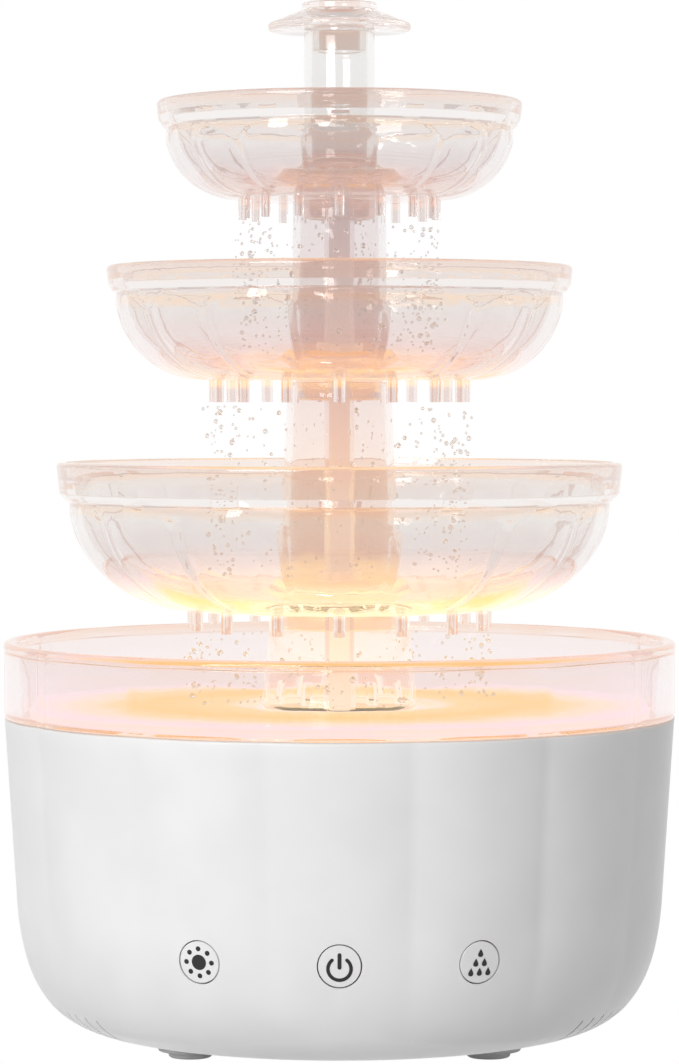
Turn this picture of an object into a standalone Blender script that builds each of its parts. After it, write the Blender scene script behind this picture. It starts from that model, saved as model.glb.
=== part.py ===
"""Tabletop water fountain: a white base that holds the pump, lights and keys, a clear
basin on top of it, and three clear nozzle bowls stacked on hollow columns.

Frame: metres, +Z up, origin on the ground under the middle of the base, keys to -Y.
The base, the basin and the bowls share one pattern of equal lobes, one of which faces
the front.  Water goes from the pump up the riser pipe to the spout cap, then rains down
from bowl to bowl.
"""

import math

import bmesh
import bpy
from mathutils import Matrix, Vector

# --- fits and facets ---------------------------------------------------------------
GAP = 0.0003                  # air between two pieces that touch
FRONT = -math.pi / 2          # azimuth of the front
LOBES = 15
LOBE_ANGLE = 2 * math.pi / LOBES
COLUMNS_PER_LOBE = 2          # mesh columns in each lobe: its crease and its crest
ROUND_STEPS = 18              # mesh columns of small round pieces

# --- base shell --------------------------------------------------------------------
BASE_TOP_Z = 0.0788
BASE_TOP_R = 0.0823
BASE_BOTTOM_Z = 0.0032        # underside, just above the ground
BASE_BOTTOM_R = 0.0552        # edge of the flat underside
BASE_CORNER_Z = 0.0357        # the wall starts to round in here
BASE_TAPER = 0.065            # wall's lean, metres of radius per metre of height
BASE_CORNER_POWER = 2.45      # fuller than a circle's 2
BASE_WALL = 0.0024
BASE_LOBE_DEPTH = 0.0009
COVER_THICKNESS = 0.0024
LEDGE_WIDTH = 0.0087          # the ledge that the cover screws to, from the underside's edge in
LEDGE_THICKNESS = 0.0024
SHELF_WIDTH = 0.0113          # the shelf that carries the basin, from the shell's top edge in
SHELF_DROP = 0.0062           # its upper face is this far under the shell's top
SHELF_THICKNESS = 0.0024

# --- vents, feet, cover screws -----------------------------------------------------
VENTS_PER_SIDE = 19
VENT_PITCH = math.radians(4.1)
VENT_WIDTH = 0.0008
VENT_START = 0.0038           # the slots start this far outside the flat underside
VENT_END = 0.0013             # and end this far inside the inner wall
VENT_TOP_Z = 0.0180           # above the inner wall all along the slots
FOOT_INSET = 0.0068           # from the underside's edge in to a foot's middle
FOOT_AZIMUTH = math.radians(43)
FOOT_FLANGE_R = 0.00765
FOOT_FLANGE_T = 0.0013
FOOT_PAD_R = 0.0052
SCREW_INSET = 0.0040          # from the ledge's inner edge out to the screws
SCREW_HEAD_R = 0.0027
SCREW_HEAD_T = 0.0015
SCREW_SHANK_R = 0.0013
SCREW_SHANK_TOP_Z = 0.0125
SCREW_BOSS_R = 0.0034
SCREW_BOSS_TOP_Z = 0.0140

# --- keys and their board ----------------------------------------------------------
KEY_NAMES = ("light_key", "power_key", "rain_key")
KEY_Z = 0.0280
KEY_STEP = LOBE_ANGLE         # one key on each of three neighbouring lobes
KEY_R = 0.00485
KEY_FLANGE_AIR = 0.0009       # between the flange and the inner wall, for the wall's lobes
KEY_FLANGE = 0.00135          # the flange stands this far round the cap
KEY_FLANGE_T = 0.0010
KEY_STEM_R = 0.0015
KEY_STEM = 0.0014
KEY_TRAVEL = 0.0008
KEY_INSET = 0.0001            # the cap sits this far below the wall's surface
SWITCH_BUTTON_R = 0.00175
SWITCH_BUTTON = 0.0010
SWITCH_BODY = 0.0060
SWITCH_DEPTH = 0.0035
BOARD_THICKNESS = 0.0016
BOARD_HEIGHT = 0.0180
BOARD_HALF_ANGLE = math.radians(34)
PEG_R = 0.0022
BOARD_SCREW_HEAD_R = 0.0020
BOARD_SCREW_HEAD_T = 0.0014
BOARD_SCREW_SHANK_R = 0.0009
BOARD_SCREW_REACH = 0.0050

# --- power jack --------------------------------------------------------------------
JACK_Z = 0.0320
JACK_BARREL_R = 0.0052
JACK_FLANGE_R = 0.0070
JACK_FLANGE_T = 0.0010
JACK_LENGTH = 0.0150
JACK_SOCKET_R = 0.0032
JACK_SOCKET_DEPTH = 0.0090
JACK_PIN_R = 0.0010
JACK_RECESS_R = 0.0085
JACK_RECESS_DEPTH = 0.0022    # the recess's flat floor, under the back wall's surface
JACK_PAD = 0.0038             # from that floor to the flat pad inside
JACK_NUT_T = 0.0025
JACK_NUT_R = 0.0080

# --- lights and main board ---------------------------------------------------------
LED_BOARD_INNER_AIR = 0.0030  # between the pump well and the light board
LED_BOARD_OUTER_AIR = 0.0050  # between the board's edge and the shelf's
LED_BOARD_DROP = 0.0083       # the board's underside, under the shelf's upper face
LED_COUNT = 6
LED_INSET = 0.0160            # from the board's outer edge in to the lights' circle
LED_SIZE = 0.0050
LED_HEIGHT = 0.0016
POST_CIRCLE_R = 0.0400
POST_R = 0.0035
POST_PIN_R = 0.0015
MAIN_BOARD_X = 0.0440
MAIN_BOARD_Y = 0.0340
MAIN_BOARD_CENTRE_Y = 0.0240
MAIN_BOARD_Z = 0.0087
MAIN_POST_R = 0.0022
MAIN_PIN_R = 0.0012
MAIN_POST_INSET = 0.0040
DIFFUSER_THICKNESS = 0.0025

# --- basin, gasket, pump well ------------------------------------------------------
BASIN_OVERHANG = 0.0001       # the basin stands this far proud of the shell
BASIN_HEIGHT = 0.0181         # of its wall above the shell
BASIN_WALL = 0.0032
BASIN_FLOOR_RISE = 0.0002     # upper face of the basin's floor, above the shell's top
BASIN_FLOOR_T = 0.0030
SPIGOT_CLEARANCE = 0.0004     # round the basin's skirt, inside the shell's lobed mouth
SPIGOT_WALL = 0.0036
GASKET_THICKNESS = 0.0015
WELL_R = 0.0215
WELL_WALL = 0.0025
WELL_DEPTH = 0.0345

# --- pump --------------------------------------------------------------------------
PUMP_X = -0.0040              # the pump sits off centre, so its outlet is on the axis
PUMP_CLEARANCE = 0.0013       # between the pump and the well's wall, where it is nearest
PUMP_BODY_HEIGHT = 0.0152
PUMP_COVER_HEIGHT = 0.0075
PUMP_COVER_WALL = 0.0018      # beside the impeller's chamber, where it is thinnest
ROTOR_X = -0.0090
ROTOR_R = 0.0050
ROTOR_LENGTH = 0.0097         # of the magnet, under the body's top
IMPELLER_HEIGHT = 0.0045      # blades' tops above the body's top
IMPELLER_T = 0.0012
BLADES = 5
BLADE_T = 0.0010
CHAMBER_CLEARANCE = 0.0008
CHAMBER_ROOF = 0.0018
SHAFT_R = 0.0010
INLET_R = 0.0030
OUTLET_R = 0.0060
OUTLET_BORE_R = 0.0027
OUTLET_HEIGHT = 0.0065        # above the cover's top
PIPE_SEAT = 0.0040            # the riser pipe goes this far into the outlet

# --- riser pipe and columns --------------------------------------------------------
PIPE_R = 0.00365
PIPE_WALL = 0.00105
SEAL_WALL = 0.0018
SEAL_HEIGHT = 0.0050
COLUMN_WALL = 0.0018
SOCKET_WALL = 0.0033          # ring on a bowl's floor around the column's foot
SOCKET_HEIGHT = 0.0035
PLUG_DEPTH = 0.0048           # ring under a bowl's floor, inside the column below it
PLUG_WALL = 0.0018
COLUMN_FOOT_LAP = 0.0030      # the lowest column's flange laps this far past the well
COLUMN_FOOT_T = 0.0015
COLUMN_SKIRT = 0.0035         # the lowest column's skirt, down inside the well's mouth
INTAKE_SLOTS = 15
INTAKE_WIDTH = 0.0020
INTAKE_HEIGHT = 0.0060
LOWER_COLUMN_R = (0.0186, 0.0170)     # outer radius at the foot and at the top
MIDDLE_COLUMN_R = (0.0146, 0.0127)
UPPER_COLUMN_R = (0.0118, 0.0113)

# --- bowls: rim, band under the rim, quarter-ellipse body, flat underside ----------
BOWL_WALL = 0.0024
RIM_BEAD = 0.0012
LARGE_RISE = 0.0257           # from the basin's floor up to the large bowl's underside
MIDDLE_RISE = 0.0558          # and from each bowl's underside to the next one's
SMALL_RISE = 0.0441
NOZZLE_BORE_R = 0.0006
NOZZLE_SIDES = 6

# --- spout -------------------------------------------------------------------------
SPOUT_FOOT_R = 0.0127
SPOUT_R = 0.0086
SPOUT_WALL = 0.0018
SPOUT_FLARE = 0.0055          # height of the flare at the tube's foot
SPOUT_COLLAR_R = 0.0103
SPOUT_COLLAR_RISE = 0.0189    # from the small bowl's underside up to the collar
SPOUT_COLLAR_HEIGHT = 0.0043
SPOUT_RISE = 0.0406           # and up to the tube's top
SPOUT_SEAL_T = 0.0010
CAP_TIP_R = 0.0175
CAP_TIP_RISE = 0.0012         # the drip edge's middle, above the tube's top
CAP_LIP = 0.0008              # radius of the cap's rounded lip
CAP_RING_R = 0.0092
CAP_RISE = 0.0043             # from the drip edge up to the ring's foot
CAP_RING_HEIGHT = 0.0018
CAP_BORE_R = 0.0050
CAP_PLUG = 0.0050

# --- sizes that follow from the ones above -----------------------------------------
CREASE = FRONT + LOBE_ANGLE / 2
LOBED_STEPS = LOBES * COLUMNS_PER_LOBE
LEDGE_R = BASE_BOTTOM_R - LEDGE_WIDTH
LEDGE_Z = BASE_BOTTOM_Z + COVER_THICKNESS + GAP + LEDGE_THICKNESS
COVER_TOP_Z = BASE_BOTTOM_Z + COVER_THICKNESS
SCREW_CIRCLE_R = LEDGE_R + SCREW_INSET
FOOT_CIRCLE_R = BASE_BOTTOM_R - FOOT_INSET
SHELF_R = BASE_TOP_R - SHELF_WIDTH
SHELF_Z = BASE_TOP_Z - SHELF_DROP
KEY_FLANGE_R = KEY_R + KEY_FLANGE
BASIN_R = BASE_TOP_R + BASIN_OVERHANG
BASIN_TOP_Z = BASE_TOP_Z + GAP + BASIN_HEIGHT
BASIN_FLOOR_Z = BASE_TOP_Z + BASIN_FLOOR_RISE
SPIGOT_R = (BASE_TOP_R - BASE_WALL - BASE_LOBE_DEPTH - BASE_TAPER * SHELF_DROP
            - SPIGOT_CLEARANCE)
WELL_FLOOR_Z = BASIN_FLOOR_Z - WELL_DEPTH
LED_BOARD_INNER_R = WELL_R + WELL_WALL + LED_BOARD_INNER_AIR
LED_BOARD_OUTER_R = SHELF_R - LED_BOARD_OUTER_AIR
LED_BOARD_Z = SHELF_Z - LED_BOARD_DROP
LED_CIRCLE_R = LED_BOARD_OUTER_R - LED_INSET
PUMP_R = WELL_R + PUMP_X - PUMP_CLEARANCE
PUMP_SPLIT_Z = WELL_FLOOR_Z + GAP + PUMP_BODY_HEIGHT
PUMP_TOP_Z = PUMP_SPLIT_Z + PUMP_COVER_HEIGHT
OUTLET_TOP_Z = PUMP_TOP_Z + OUTLET_HEIGHT
ROTOR_BOTTOM_Z = PUMP_SPLIT_Z - ROTOR_LENGTH
IMPELLER_R = PUMP_R - (PUMP_X - ROTOR_X) - PUMP_COVER_WALL - CHAMBER_CLEARANCE
IMPELLER_TOP_Z = PUMP_SPLIT_Z + IMPELLER_HEIGHT
PIPE_BORE_R = PIPE_R + GAP
COLUMN_FOOT_R = WELL_R + COLUMN_FOOT_LAP
LARGE_FLOOR_Z = BASIN_FLOOR_Z + LARGE_RISE
MIDDLE_FLOOR_Z = LARGE_FLOOR_Z + MIDDLE_RISE
SMALL_FLOOR_Z = MIDDLE_FLOOR_Z + SMALL_RISE
SPOUT_COLLAR_Z = (SMALL_FLOOR_Z + SPOUT_COLLAR_RISE,
                  SMALL_FLOOR_Z + SPOUT_COLLAR_RISE + SPOUT_COLLAR_HEIGHT)
SPOUT_TOP_Z = SMALL_FLOOR_Z + SPOUT_RISE
CAP_TIP_Z = SPOUT_TOP_Z + CAP_TIP_RISE
CAP_RING_Z = CAP_TIP_Z + CAP_RISE
CAP_TOP_Z = CAP_RING_Z + CAP_RING_HEIGHT

# --- the three bowls: heights are above the underside, the nozzles' are below it ---
LARGE = {
    "name": "large_bowl", "floor_z": LARGE_FLOOR_Z, "rim_r": 0.0692, "rim": 0.0360,
    "band_r": 0.0670, "step": 0.0267, "body_r": 0.0664, "flat_r": 0.0356, "lobe": 0.0012,
    "nozzle_ring": 0.0362, "nozzle_r": 0.00145, "nozzle": 0.0047,
}
MIDDLE = {
    "name": "middle_bowl", "floor_z": MIDDLE_FLOOR_Z, "rim_r": 0.0570, "rim": 0.0281,
    "band_r": 0.0556, "step": 0.0218, "body_r": 0.0550, "flat_r": 0.0327, "lobe": 0.0010,
    "nozzle_ring": 0.0308, "nozzle_r": 0.00145, "nozzle": 0.0052,
}
SMALL = {
    "name": "small_bowl", "floor_z": SMALL_FLOOR_Z, "rim_r": 0.0447, "rim": 0.0241,
    "band_r": 0.0433, "step": 0.0177, "body_r": 0.0427, "flat_r": 0.0245, "lobe": 0.0008,
    "nozzle_ring": 0.0237, "nozzle_r": 0.0012, "nozzle": 0.0036,
}


# --- scene helpers -----------------------------------------------------------------
def empty_scene():
    """Remove every object, so that the model starts alone."""
    for obj in list(bpy.data.objects):
        bpy.data.objects.remove(obj, do_unlink=True)


def collection(name):
    """A collection linked to the scene."""
    made = bpy.data.collections.new(name)
    bpy.context.scene.collection.children.link(made)
    return made


empty_scene()
PARTS = collection("tabletop_water_fountain")
CUTTERS = collection("cutters")


def material(name, colour, roughness, metallic=0.0, transmission=0.0):
    """A Principled material."""
    made = bpy.data.materials.new(name)
    made.use_nodes = True
    shader = made.node_tree.nodes["Principled BSDF"]
    shader.inputs["Base Color"].default_value = (*colour, 1.0)
    shader.inputs["Roughness"].default_value = roughness
    shader.inputs["Metallic"].default_value = metallic
    shader.inputs["Transmission Weight"].default_value = transmission
    return made


WHITE_ABS = material("white_abs", (0.86, 0.86, 0.86), 0.38)
CLEAR = material("clear_acrylic", (0.97, 0.95, 0.94), 0.05, transmission=1.0)
OPAL = material("opal_diffuser", (1.0, 0.88, 0.60), 0.5)
BLACK_PLASTIC = material("black_plastic", (0.02, 0.02, 0.022), 0.45)
RUBBER = material("grey_rubber", (0.45, 0.45, 0.45), 0.8)
SILICONE = material("clear_silicone", (0.85, 0.83, 0.80), 0.45)
CIRCUIT_BOARD = material("circuit_board", (0.02, 0.16, 0.06), 0.5)
LED_BODY = material("led_body", (0.95, 0.86, 0.55), 0.35)
STEEL = material("zinc_plated_steel", (0.62, 0.62, 0.64), 0.3, metallic=1.0)
CERAMIC = material("white_ceramic", (0.85, 0.84, 0.80), 0.3)


def place(name, mesh, mat, where=PARTS):
    """An object that holds a mesh, with its faces smooth between sharp edges."""
    mesh.name = name
    mesh.materials.clear()
    mesh.materials.append(mat)
    mesh.shade_smooth()
    mesh.set_sharp_from_angle(angle=math.radians(35))
    obj = bpy.data.objects.new(name, mesh)
    where.objects.link(obj)
    return obj


def mesh_from(build):
    """A mesh that the function build fills in a bmesh, with its faces turned out."""
    shape = bmesh.new()
    build(shape)
    bmesh.ops.recalc_face_normals(shape, faces=shape.faces[:])
    mesh = bpy.data.meshes.new("shape")
    shape.to_mesh(mesh)
    shape.free()
    return mesh


def evaluated_mesh(obj):
    """Take an object's evaluated shape as a plain mesh, and remove the object."""
    bpy.context.view_layer.update()
    graph = bpy.context.evaluated_depsgraph_get()
    mesh = bpy.data.meshes.new_from_object(obj.evaluated_get(graph))
    bpy.data.objects.remove(obj, do_unlink=True)
    return mesh


def turned_mesh(profile, steps=ROUND_STEPS):
    """Turn a profile of (radius, height) points about Z.  It runs down the outer side.

    A profile that starts and ends on the axis is closed there; any other is a ring.
    """
    on_axis = profile[0][0] == 0.0 and profile[-1][0] == 0.0
    count = len(profile)
    edges = [(i, i + 1) for i in range(count - 1)]
    if not on_axis:
        edges.append((count - 1, 0))
    mesh = bpy.data.meshes.new("profile")
    mesh.from_pydata([(r, 0.0, z) for r, z in profile], edges, [])
    obj = bpy.data.objects.new("profile", mesh)
    CUTTERS.objects.link(obj)
    screw = obj.modifiers.new("turn", "SCREW")
    screw.axis = "Z"
    screw.steps = steps
    screw.render_steps = steps
    screw.use_merge_vertices = True
    screw.merge_threshold = 0.00001
    return evaluated_mesh(obj)


def turned(name, profile, mat, steps=ROUND_STEPS):
    """A turned piece."""
    return place(name, turned_mesh(profile, steps), mat)


def lobe_fall(azimuth):
    """0 on a lobe's crest, rising as a square to 1 in the crease beside it."""
    phase = (azimuth - FRONT) / LOBE_ANGLE
    return (2 * (phase - round(phase))) ** 2


def lobed_mesh(profile, depth_at):
    """Turn a profile, then sink it by depth_at(radius, height) between the crests."""
    mesh = turned_mesh(profile, LOBED_STEPS)
    mesh.transform(Matrix.Rotation(CREASE, 4, "Z"))
    for vertex in mesh.vertices:
        x, y, z = vertex.co
        radius = math.hypot(x, y)
        if radius > 0.0:
            sink = depth_at(radius, z) * lobe_fall(math.atan2(y, x))
            vertex.co.xy *= 1 - sink / radius
    return mesh


def wide_turned(name, profile, mat):
    """A turned piece whose facets line up with the lobed pieces around it."""
    return place(name, lobed_mesh(profile, lambda radius, z: 0.0), mat)


def cylinder_mesh(spots, sides=ROUND_STEPS, top_r=None):
    """Closed cylinders in one mesh.  A spot is (matrix, radius, length), its foot at
    the matrix's origin and its length along the matrix's Z."""
    def build(shape):
        for matrix, radius, length in spots:
            bmesh.ops.create_cone(
                shape, cap_ends=True, segments=sides, radius1=radius,
                radius2=radius if top_r is None else top_r, depth=length,
                matrix=matrix @ Matrix.Translation((0, 0, length / 2)))
    return mesh_from(build)


def box_mesh(spots):
    """Closed boxes in one mesh.  A spot is (matrix of the box's centre, size)."""
    def build(shape):
        for matrix, size in spots:
            bmesh.ops.create_cube(shape, size=1.0, matrix=matrix @ Matrix.Diagonal((*size, 1)))
    return mesh_from(build)


def boolean(obj, mesh, operation):
    """Cut a mesh from an object or join it, and keep the cutter as a wire guide."""
    cutter = place(obj.name + "_" + operation.lower(), mesh, WHITE_ABS, CUTTERS)
    cutter.hide_render = True
    cutter.display_type = "WIRE"
    modifier = obj.modifiers.new(operation.lower(), "BOOLEAN")
    modifier.operation = operation
    modifier.solver = "EXACT"
    modifier.object = cutter
    return obj


def cut(obj, mesh):
    """Take a mesh's volume away from an object."""
    return boolean(obj, mesh, "DIFFERENCE")


def join(obj, mesh):
    """Add a mesh's volume to an object."""
    return boolean(obj, mesh, "UNION")


def polar(radius, azimuth, height=0.0):
    """A point from its radius, azimuth and height."""
    return Vector((radius * math.cos(azimuth), radius * math.sin(azimuth), height))


def upright(radius, azimuth, height=0.0):
    """A matrix that stands at a polar point, its X away from the axis."""
    return Matrix.Translation(polar(radius, azimuth, height)) @ Matrix.Rotation(azimuth, 4, "Z")


def outward(radius, azimuth, height):
    """A matrix at a polar point whose Z points away from the axis."""
    return upright(radius, azimuth, height) @ Matrix.Rotation(math.pi / 2, 4, "Y")


def along_y(y, z):
    """A matrix on the plane X = 0 whose Z points to +Y."""
    return Matrix.Translation((0, y, z)) @ Matrix.Rotation(-math.pi / 2, 4, "X")


def ring_profile(inner_r, outer_r, bottom, top):
    """A rectangular ring's profile."""
    return [(inner_r, top), (outer_r, top), (outer_r, bottom), (inner_r, bottom)]


def disc_profile(radius, bottom, top):
    """A flat disc's profile."""
    return [(0.0, top), (radius, top), (radius, bottom), (0.0, bottom)]


# --- base --------------------------------------------------------------------------
def wall_radius(z, inset=0.0):
    """The base wall's radius at a height, on a crest: a straight leaning wall, then a
    corner that rounds in to the flat underside.  With an inset it is the inner wall,
    whose corner ends on the ledge."""
    bottom = BASE_BOTTOM_Z if inset == 0.0 else LEDGE_Z
    straight = BASE_TOP_R - inset - BASE_TAPER * (BASE_TOP_Z - z)
    if z >= BASE_CORNER_Z:
        return straight
    whole_drop = BASE_TOP_R - inset - BASE_TAPER * (BASE_TOP_Z - bottom) - BASE_BOTTOM_R
    down = min(1.0, (BASE_CORNER_Z - z) / (BASE_CORNER_Z - bottom))
    return straight - whole_drop * (1 - (1 - down ** BASE_CORNER_POWER) ** (1 / BASE_CORNER_POWER))


def corner_heights(bottom, steps):
    """Heights down the corner, closer together where it turns in."""
    drop = BASE_CORNER_Z - bottom
    return [BASE_CORNER_Z - drop * math.sin(math.pi / 2 * i / steps) for i in range(steps + 1)]


def base_lobe_depth(radius, z):
    """The base's creases fade out in the rounding under the wall."""
    fade = min(1.0, max(0.0, (z - BASE_BOTTOM_Z) / (BASE_CORNER_Z - BASE_BOTTOM_Z)))
    return BASE_LOBE_DEPTH * fade if radius > SHELF_R + GAP else 0.0


def key_azimuths():
    """The keys' azimuths, left to right."""
    return [FRONT + KEY_STEP * side for side in (-1, 0, 1)]


def peg_azimuths():
    """The creases between the keys, where the control board's pegs stand."""
    return [FRONT + KEY_STEP * side / 2 for side in (-1, 1)]


def key_cap_depth():
    """From a key's face in to its flange, which clears the inner wall's lowest edge."""
    lowest = wall_radius(KEY_Z - KEY_FLANGE_R, BASE_WALL)
    return wall_radius(KEY_Z) - KEY_INSET - lowest + KEY_FLANGE_AIR


def board_outer_radius():
    """Outer radius of the curved control board, behind the switches."""
    depth = (key_cap_depth() + KEY_FLANGE_T + KEY_STEM + KEY_TRAVEL + GAP
             + SWITCH_BUTTON + SWITCH_DEPTH + GAP)
    return wall_radius(KEY_Z) - KEY_INSET - depth


def jack_recess_y():
    """The flat floor of the jack's recess in the back wall."""
    return wall_radius(JACK_Z) - JACK_RECESS_DEPTH


def vent_spots():
    """Slots under the left and the right side, through the rounded corner."""
    start = BASE_BOTTOM_R + VENT_START
    end = wall_radius(VENT_TOP_Z, BASE_WALL) - VENT_END
    size = (end - start, VENT_WIDTH, VENT_TOP_Z + BASE_BOTTOM_Z)
    middle = (start + end) / 2
    spots = []
    for side in (0.0, math.pi):
        for i in range(VENTS_PER_SIDE):
            azimuth = side + VENT_PITCH * (i - (VENTS_PER_SIDE - 1) / 2)
            spots.append((upright(middle, azimuth, VENT_TOP_Z - size[2] / 2), size))
    return spots


def screw_azimuths():
    """The cover screws' azimuths."""
    return [FRONT + math.pi / 2 * i for i in range(4)]


def make_shell():
    """The white outer shell: open above for the basin, open below for the cover."""
    outer = [(BASE_TOP_R, BASE_TOP_Z)]
    outer += [(wall_radius(z), z) for z in corner_heights(BASE_BOTTOM_Z, 5)]
    ledge_bottom = LEDGE_Z - LEDGE_THICKNESS
    inner = [(BASE_BOTTOM_R, ledge_bottom), (LEDGE_R, ledge_bottom), (LEDGE_R, LEDGE_Z)]
    inner += [(wall_radius(z, BASE_WALL), z) for z in reversed(corner_heights(LEDGE_Z, 3))]
    shelf_bottom = SHELF_Z - SHELF_THICKNESS
    inner += [
        (wall_radius(shelf_bottom - SHELF_THICKNESS, BASE_WALL), shelf_bottom - SHELF_THICKNESS),
        (SHELF_R, shelf_bottom), (SHELF_R, SHELF_Z),
        (wall_radius(SHELF_Z, BASE_WALL), SHELF_Z),
        (wall_radius(BASE_TOP_Z, BASE_WALL), BASE_TOP_Z),
    ]
    shell = place("base_shell", lobed_mesh(outer + inner, base_lobe_depth), WHITE_ABS)
    peg_foot = board_outer_radius() + GAP
    peg_length = wall_radius(KEY_Z) - BASE_WALL / 2 - BASE_LOBE_DEPTH - peg_foot
    join(shell, cylinder_mesh([(outward(peg_foot, a, KEY_Z), PEG_R, peg_length)
                               for a in peg_azimuths()], 12))
    boss_foot = LEDGE_Z - LEDGE_THICKNESS / 2
    join(shell, cylinder_mesh([(upright(SCREW_CIRCLE_R, a, boss_foot), SCREW_BOSS_R,
                                SCREW_BOSS_TOP_Z - boss_foot) for a in screw_azimuths()], 12))
    recess_y = jack_recess_y()
    join(shell, cylinder_mesh([(along_y(recess_y - JACK_PAD, JACK_Z), JACK_RECESS_R,
                                JACK_PAD * 0.9)]))
    key_hole = key_cap_depth() + 2 * BASE_WALL
    cut(shell, cylinder_mesh([(outward(wall_radius(KEY_Z) - key_cap_depth(), a, KEY_Z),
                               KEY_R + GAP, key_hole) for a in key_azimuths()]))
    cut(shell, cylinder_mesh([(along_y(recess_y, JACK_Z), JACK_RECESS_R, BASE_TOP_R)]))
    cut(shell, cylinder_mesh([(along_y(recess_y - JACK_PAD - BASE_WALL, JACK_Z),
                               JACK_BARREL_R + GAP, BASE_TOP_R)]))
    screw_hole = SCREW_SHANK_R + GAP
    cut(shell, cylinder_mesh([(upright(SCREW_CIRCLE_R, a), screw_hole, SCREW_SHANK_TOP_Z + GAP)
                              for a in screw_azimuths()], 10))
    cut(shell, cylinder_mesh([(outward(peg_foot - BASE_WALL, a, KEY_Z),
                               BOARD_SCREW_SHANK_R + GAP, BOARD_SCREW_REACH + BASE_WALL)
                              for a in peg_azimuths()], 8))
    cut(shell, box_mesh(vent_spots()))
    return shell


def post_spots(radius, bottom, top):
    """The four posts that carry the light board."""
    return [(upright(POST_CIRCLE_R, FRONT + math.pi / 4 + math.pi / 2 * i, bottom), radius,
             top - bottom) for i in range(4)]


def main_post_spots(radius, bottom, top):
    """The four short posts that carry the main board."""
    x = MAIN_BOARD_X / 2 - MAIN_POST_INSET
    y = MAIN_BOARD_Y / 2 - MAIN_POST_INSET
    return [(Matrix.Translation((sx * x, MAIN_BOARD_CENTRE_Y + sy * y, bottom)), radius,
             top - bottom) for sx in (-1, 1) for sy in (-1, 1)]


def make_bottom_cover():
    """The plate that closes the shell, with the boards' posts on its inner side."""
    plate = disc_profile(BASE_BOTTOM_R - GAP, BASE_BOTTOM_Z, COVER_TOP_Z)
    cover = wide_turned("bottom_cover", plate, WHITE_ABS)
    root = COVER_TOP_Z - COVER_THICKNESS / 2
    join(cover, cylinder_mesh(post_spots(POST_R, root, LED_BOARD_Z - GAP), 12))
    join(cover, cylinder_mesh(post_spots(POST_PIN_R, root, LED_BOARD_Z + BOARD_THICKNESS), 8))
    join(cover, cylinder_mesh(main_post_spots(MAIN_POST_R, root, MAIN_BOARD_Z - GAP), 10))
    join(cover, cylinder_mesh(
        main_post_spots(MAIN_PIN_R, root, MAIN_BOARD_Z + BOARD_THICKNESS), 8))
    head_seat = SCREW_HEAD_T + GAP
    cut(cover, cylinder_mesh([(upright(SCREW_CIRCLE_R, a), SCREW_HEAD_R + GAP,
                               BASE_BOTTOM_Z + head_seat) for a in screw_azimuths()], 12))
    cut(cover, cylinder_mesh([(upright(SCREW_CIRCLE_R, a), SCREW_SHANK_R + GAP,
                               2 * COVER_TOP_Z) for a in screw_azimuths()], 10))
    return cover


def make_feet():
    """Four rubber feet under the cover."""
    top = BASE_BOTTOM_Z - GAP
    profile = [(0.0, top), (FOOT_FLANGE_R, top), (FOOT_FLANGE_R, top - FOOT_FLANGE_T),
               (FOOT_PAD_R, top - FOOT_FLANGE_T), (FOOT_PAD_R, 0.0), (0.0, 0.0)]
    across, along, _ = polar(FOOT_CIRCLE_R, FOOT_AZIMUTH)
    for end, y in (("front", -along), ("back", along)):
        for side, x in (("left", -across), ("right", across)):
            foot = turned(f"foot_{end}_{side}", profile, RUBBER)
            foot.location = (x, y, 0.0)


def make_cover_screws():
    """The screws that hold the bottom cover to the shell's bosses."""
    head_top = BASE_BOTTOM_Z + SCREW_HEAD_T
    head_bottom = BASE_BOTTOM_Z + GAP
    profile = [(0.0, SCREW_SHANK_TOP_Z), (SCREW_SHANK_R, SCREW_SHANK_TOP_Z),
               (SCREW_SHANK_R, head_top), (SCREW_HEAD_R, head_top),
               (SCREW_HEAD_R, head_bottom), (0.0, head_bottom)]
    for i, azimuth in enumerate(screw_azimuths()):
        screw = turned(f"cover_screw_{i + 1}", profile, STEEL, 12)
        screw.location = polar(SCREW_CIRCLE_R, azimuth)


# --- keys and control board --------------------------------------------------------
def make_keys():
    """Three push keys flush with the wall, each with its origin on its own axis."""
    flange = -key_cap_depth()
    back = flange - KEY_FLANGE_T
    stem = back - KEY_STEM
    profile = [(0.0, 0.0), (KEY_R, 0.0), (KEY_R, flange), (KEY_FLANGE_R, flange),
               (KEY_FLANGE_R, back), (KEY_STEM_R, back), (KEY_STEM_R, stem), (0.0, stem)]
    for name, azimuth in zip(KEY_NAMES, key_azimuths()):
        mesh = turned_mesh(profile)
        mesh.transform(Matrix.Rotation(math.pi / 2, 4, "Y"))
        face = wall_radius(KEY_Z) - KEY_INSET
        for vertex in mesh.vertices:
            if vertex.co.x > flange / 2:
                vertex.co.x += wall_radius(KEY_Z + vertex.co.z) - wall_radius(KEY_Z)
        key = place(name, mesh, WHITE_ABS)
        key.location = polar(face, azimuth, KEY_Z)
        key.rotation_euler.z = azimuth


def make_switches():
    """One push switch behind each key, on the curved board."""
    front = board_outer_radius() + GAP
    for name, azimuth in zip(KEY_NAMES, key_azimuths()):
        middle = upright(front + SWITCH_DEPTH / 2, azimuth, KEY_Z)
        body = box_mesh([(middle, (SWITCH_DEPTH, SWITCH_BODY, SWITCH_BODY))])
        switch = place(name.replace("_key", "_switch"), body, BLACK_PLASTIC)
        half = SWITCH_DEPTH / 2
        join(switch, cylinder_mesh([(outward(front + half, azimuth, KEY_Z), SWITCH_BUTTON_R,
                                     half + SWITCH_BUTTON)], 12))


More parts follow.
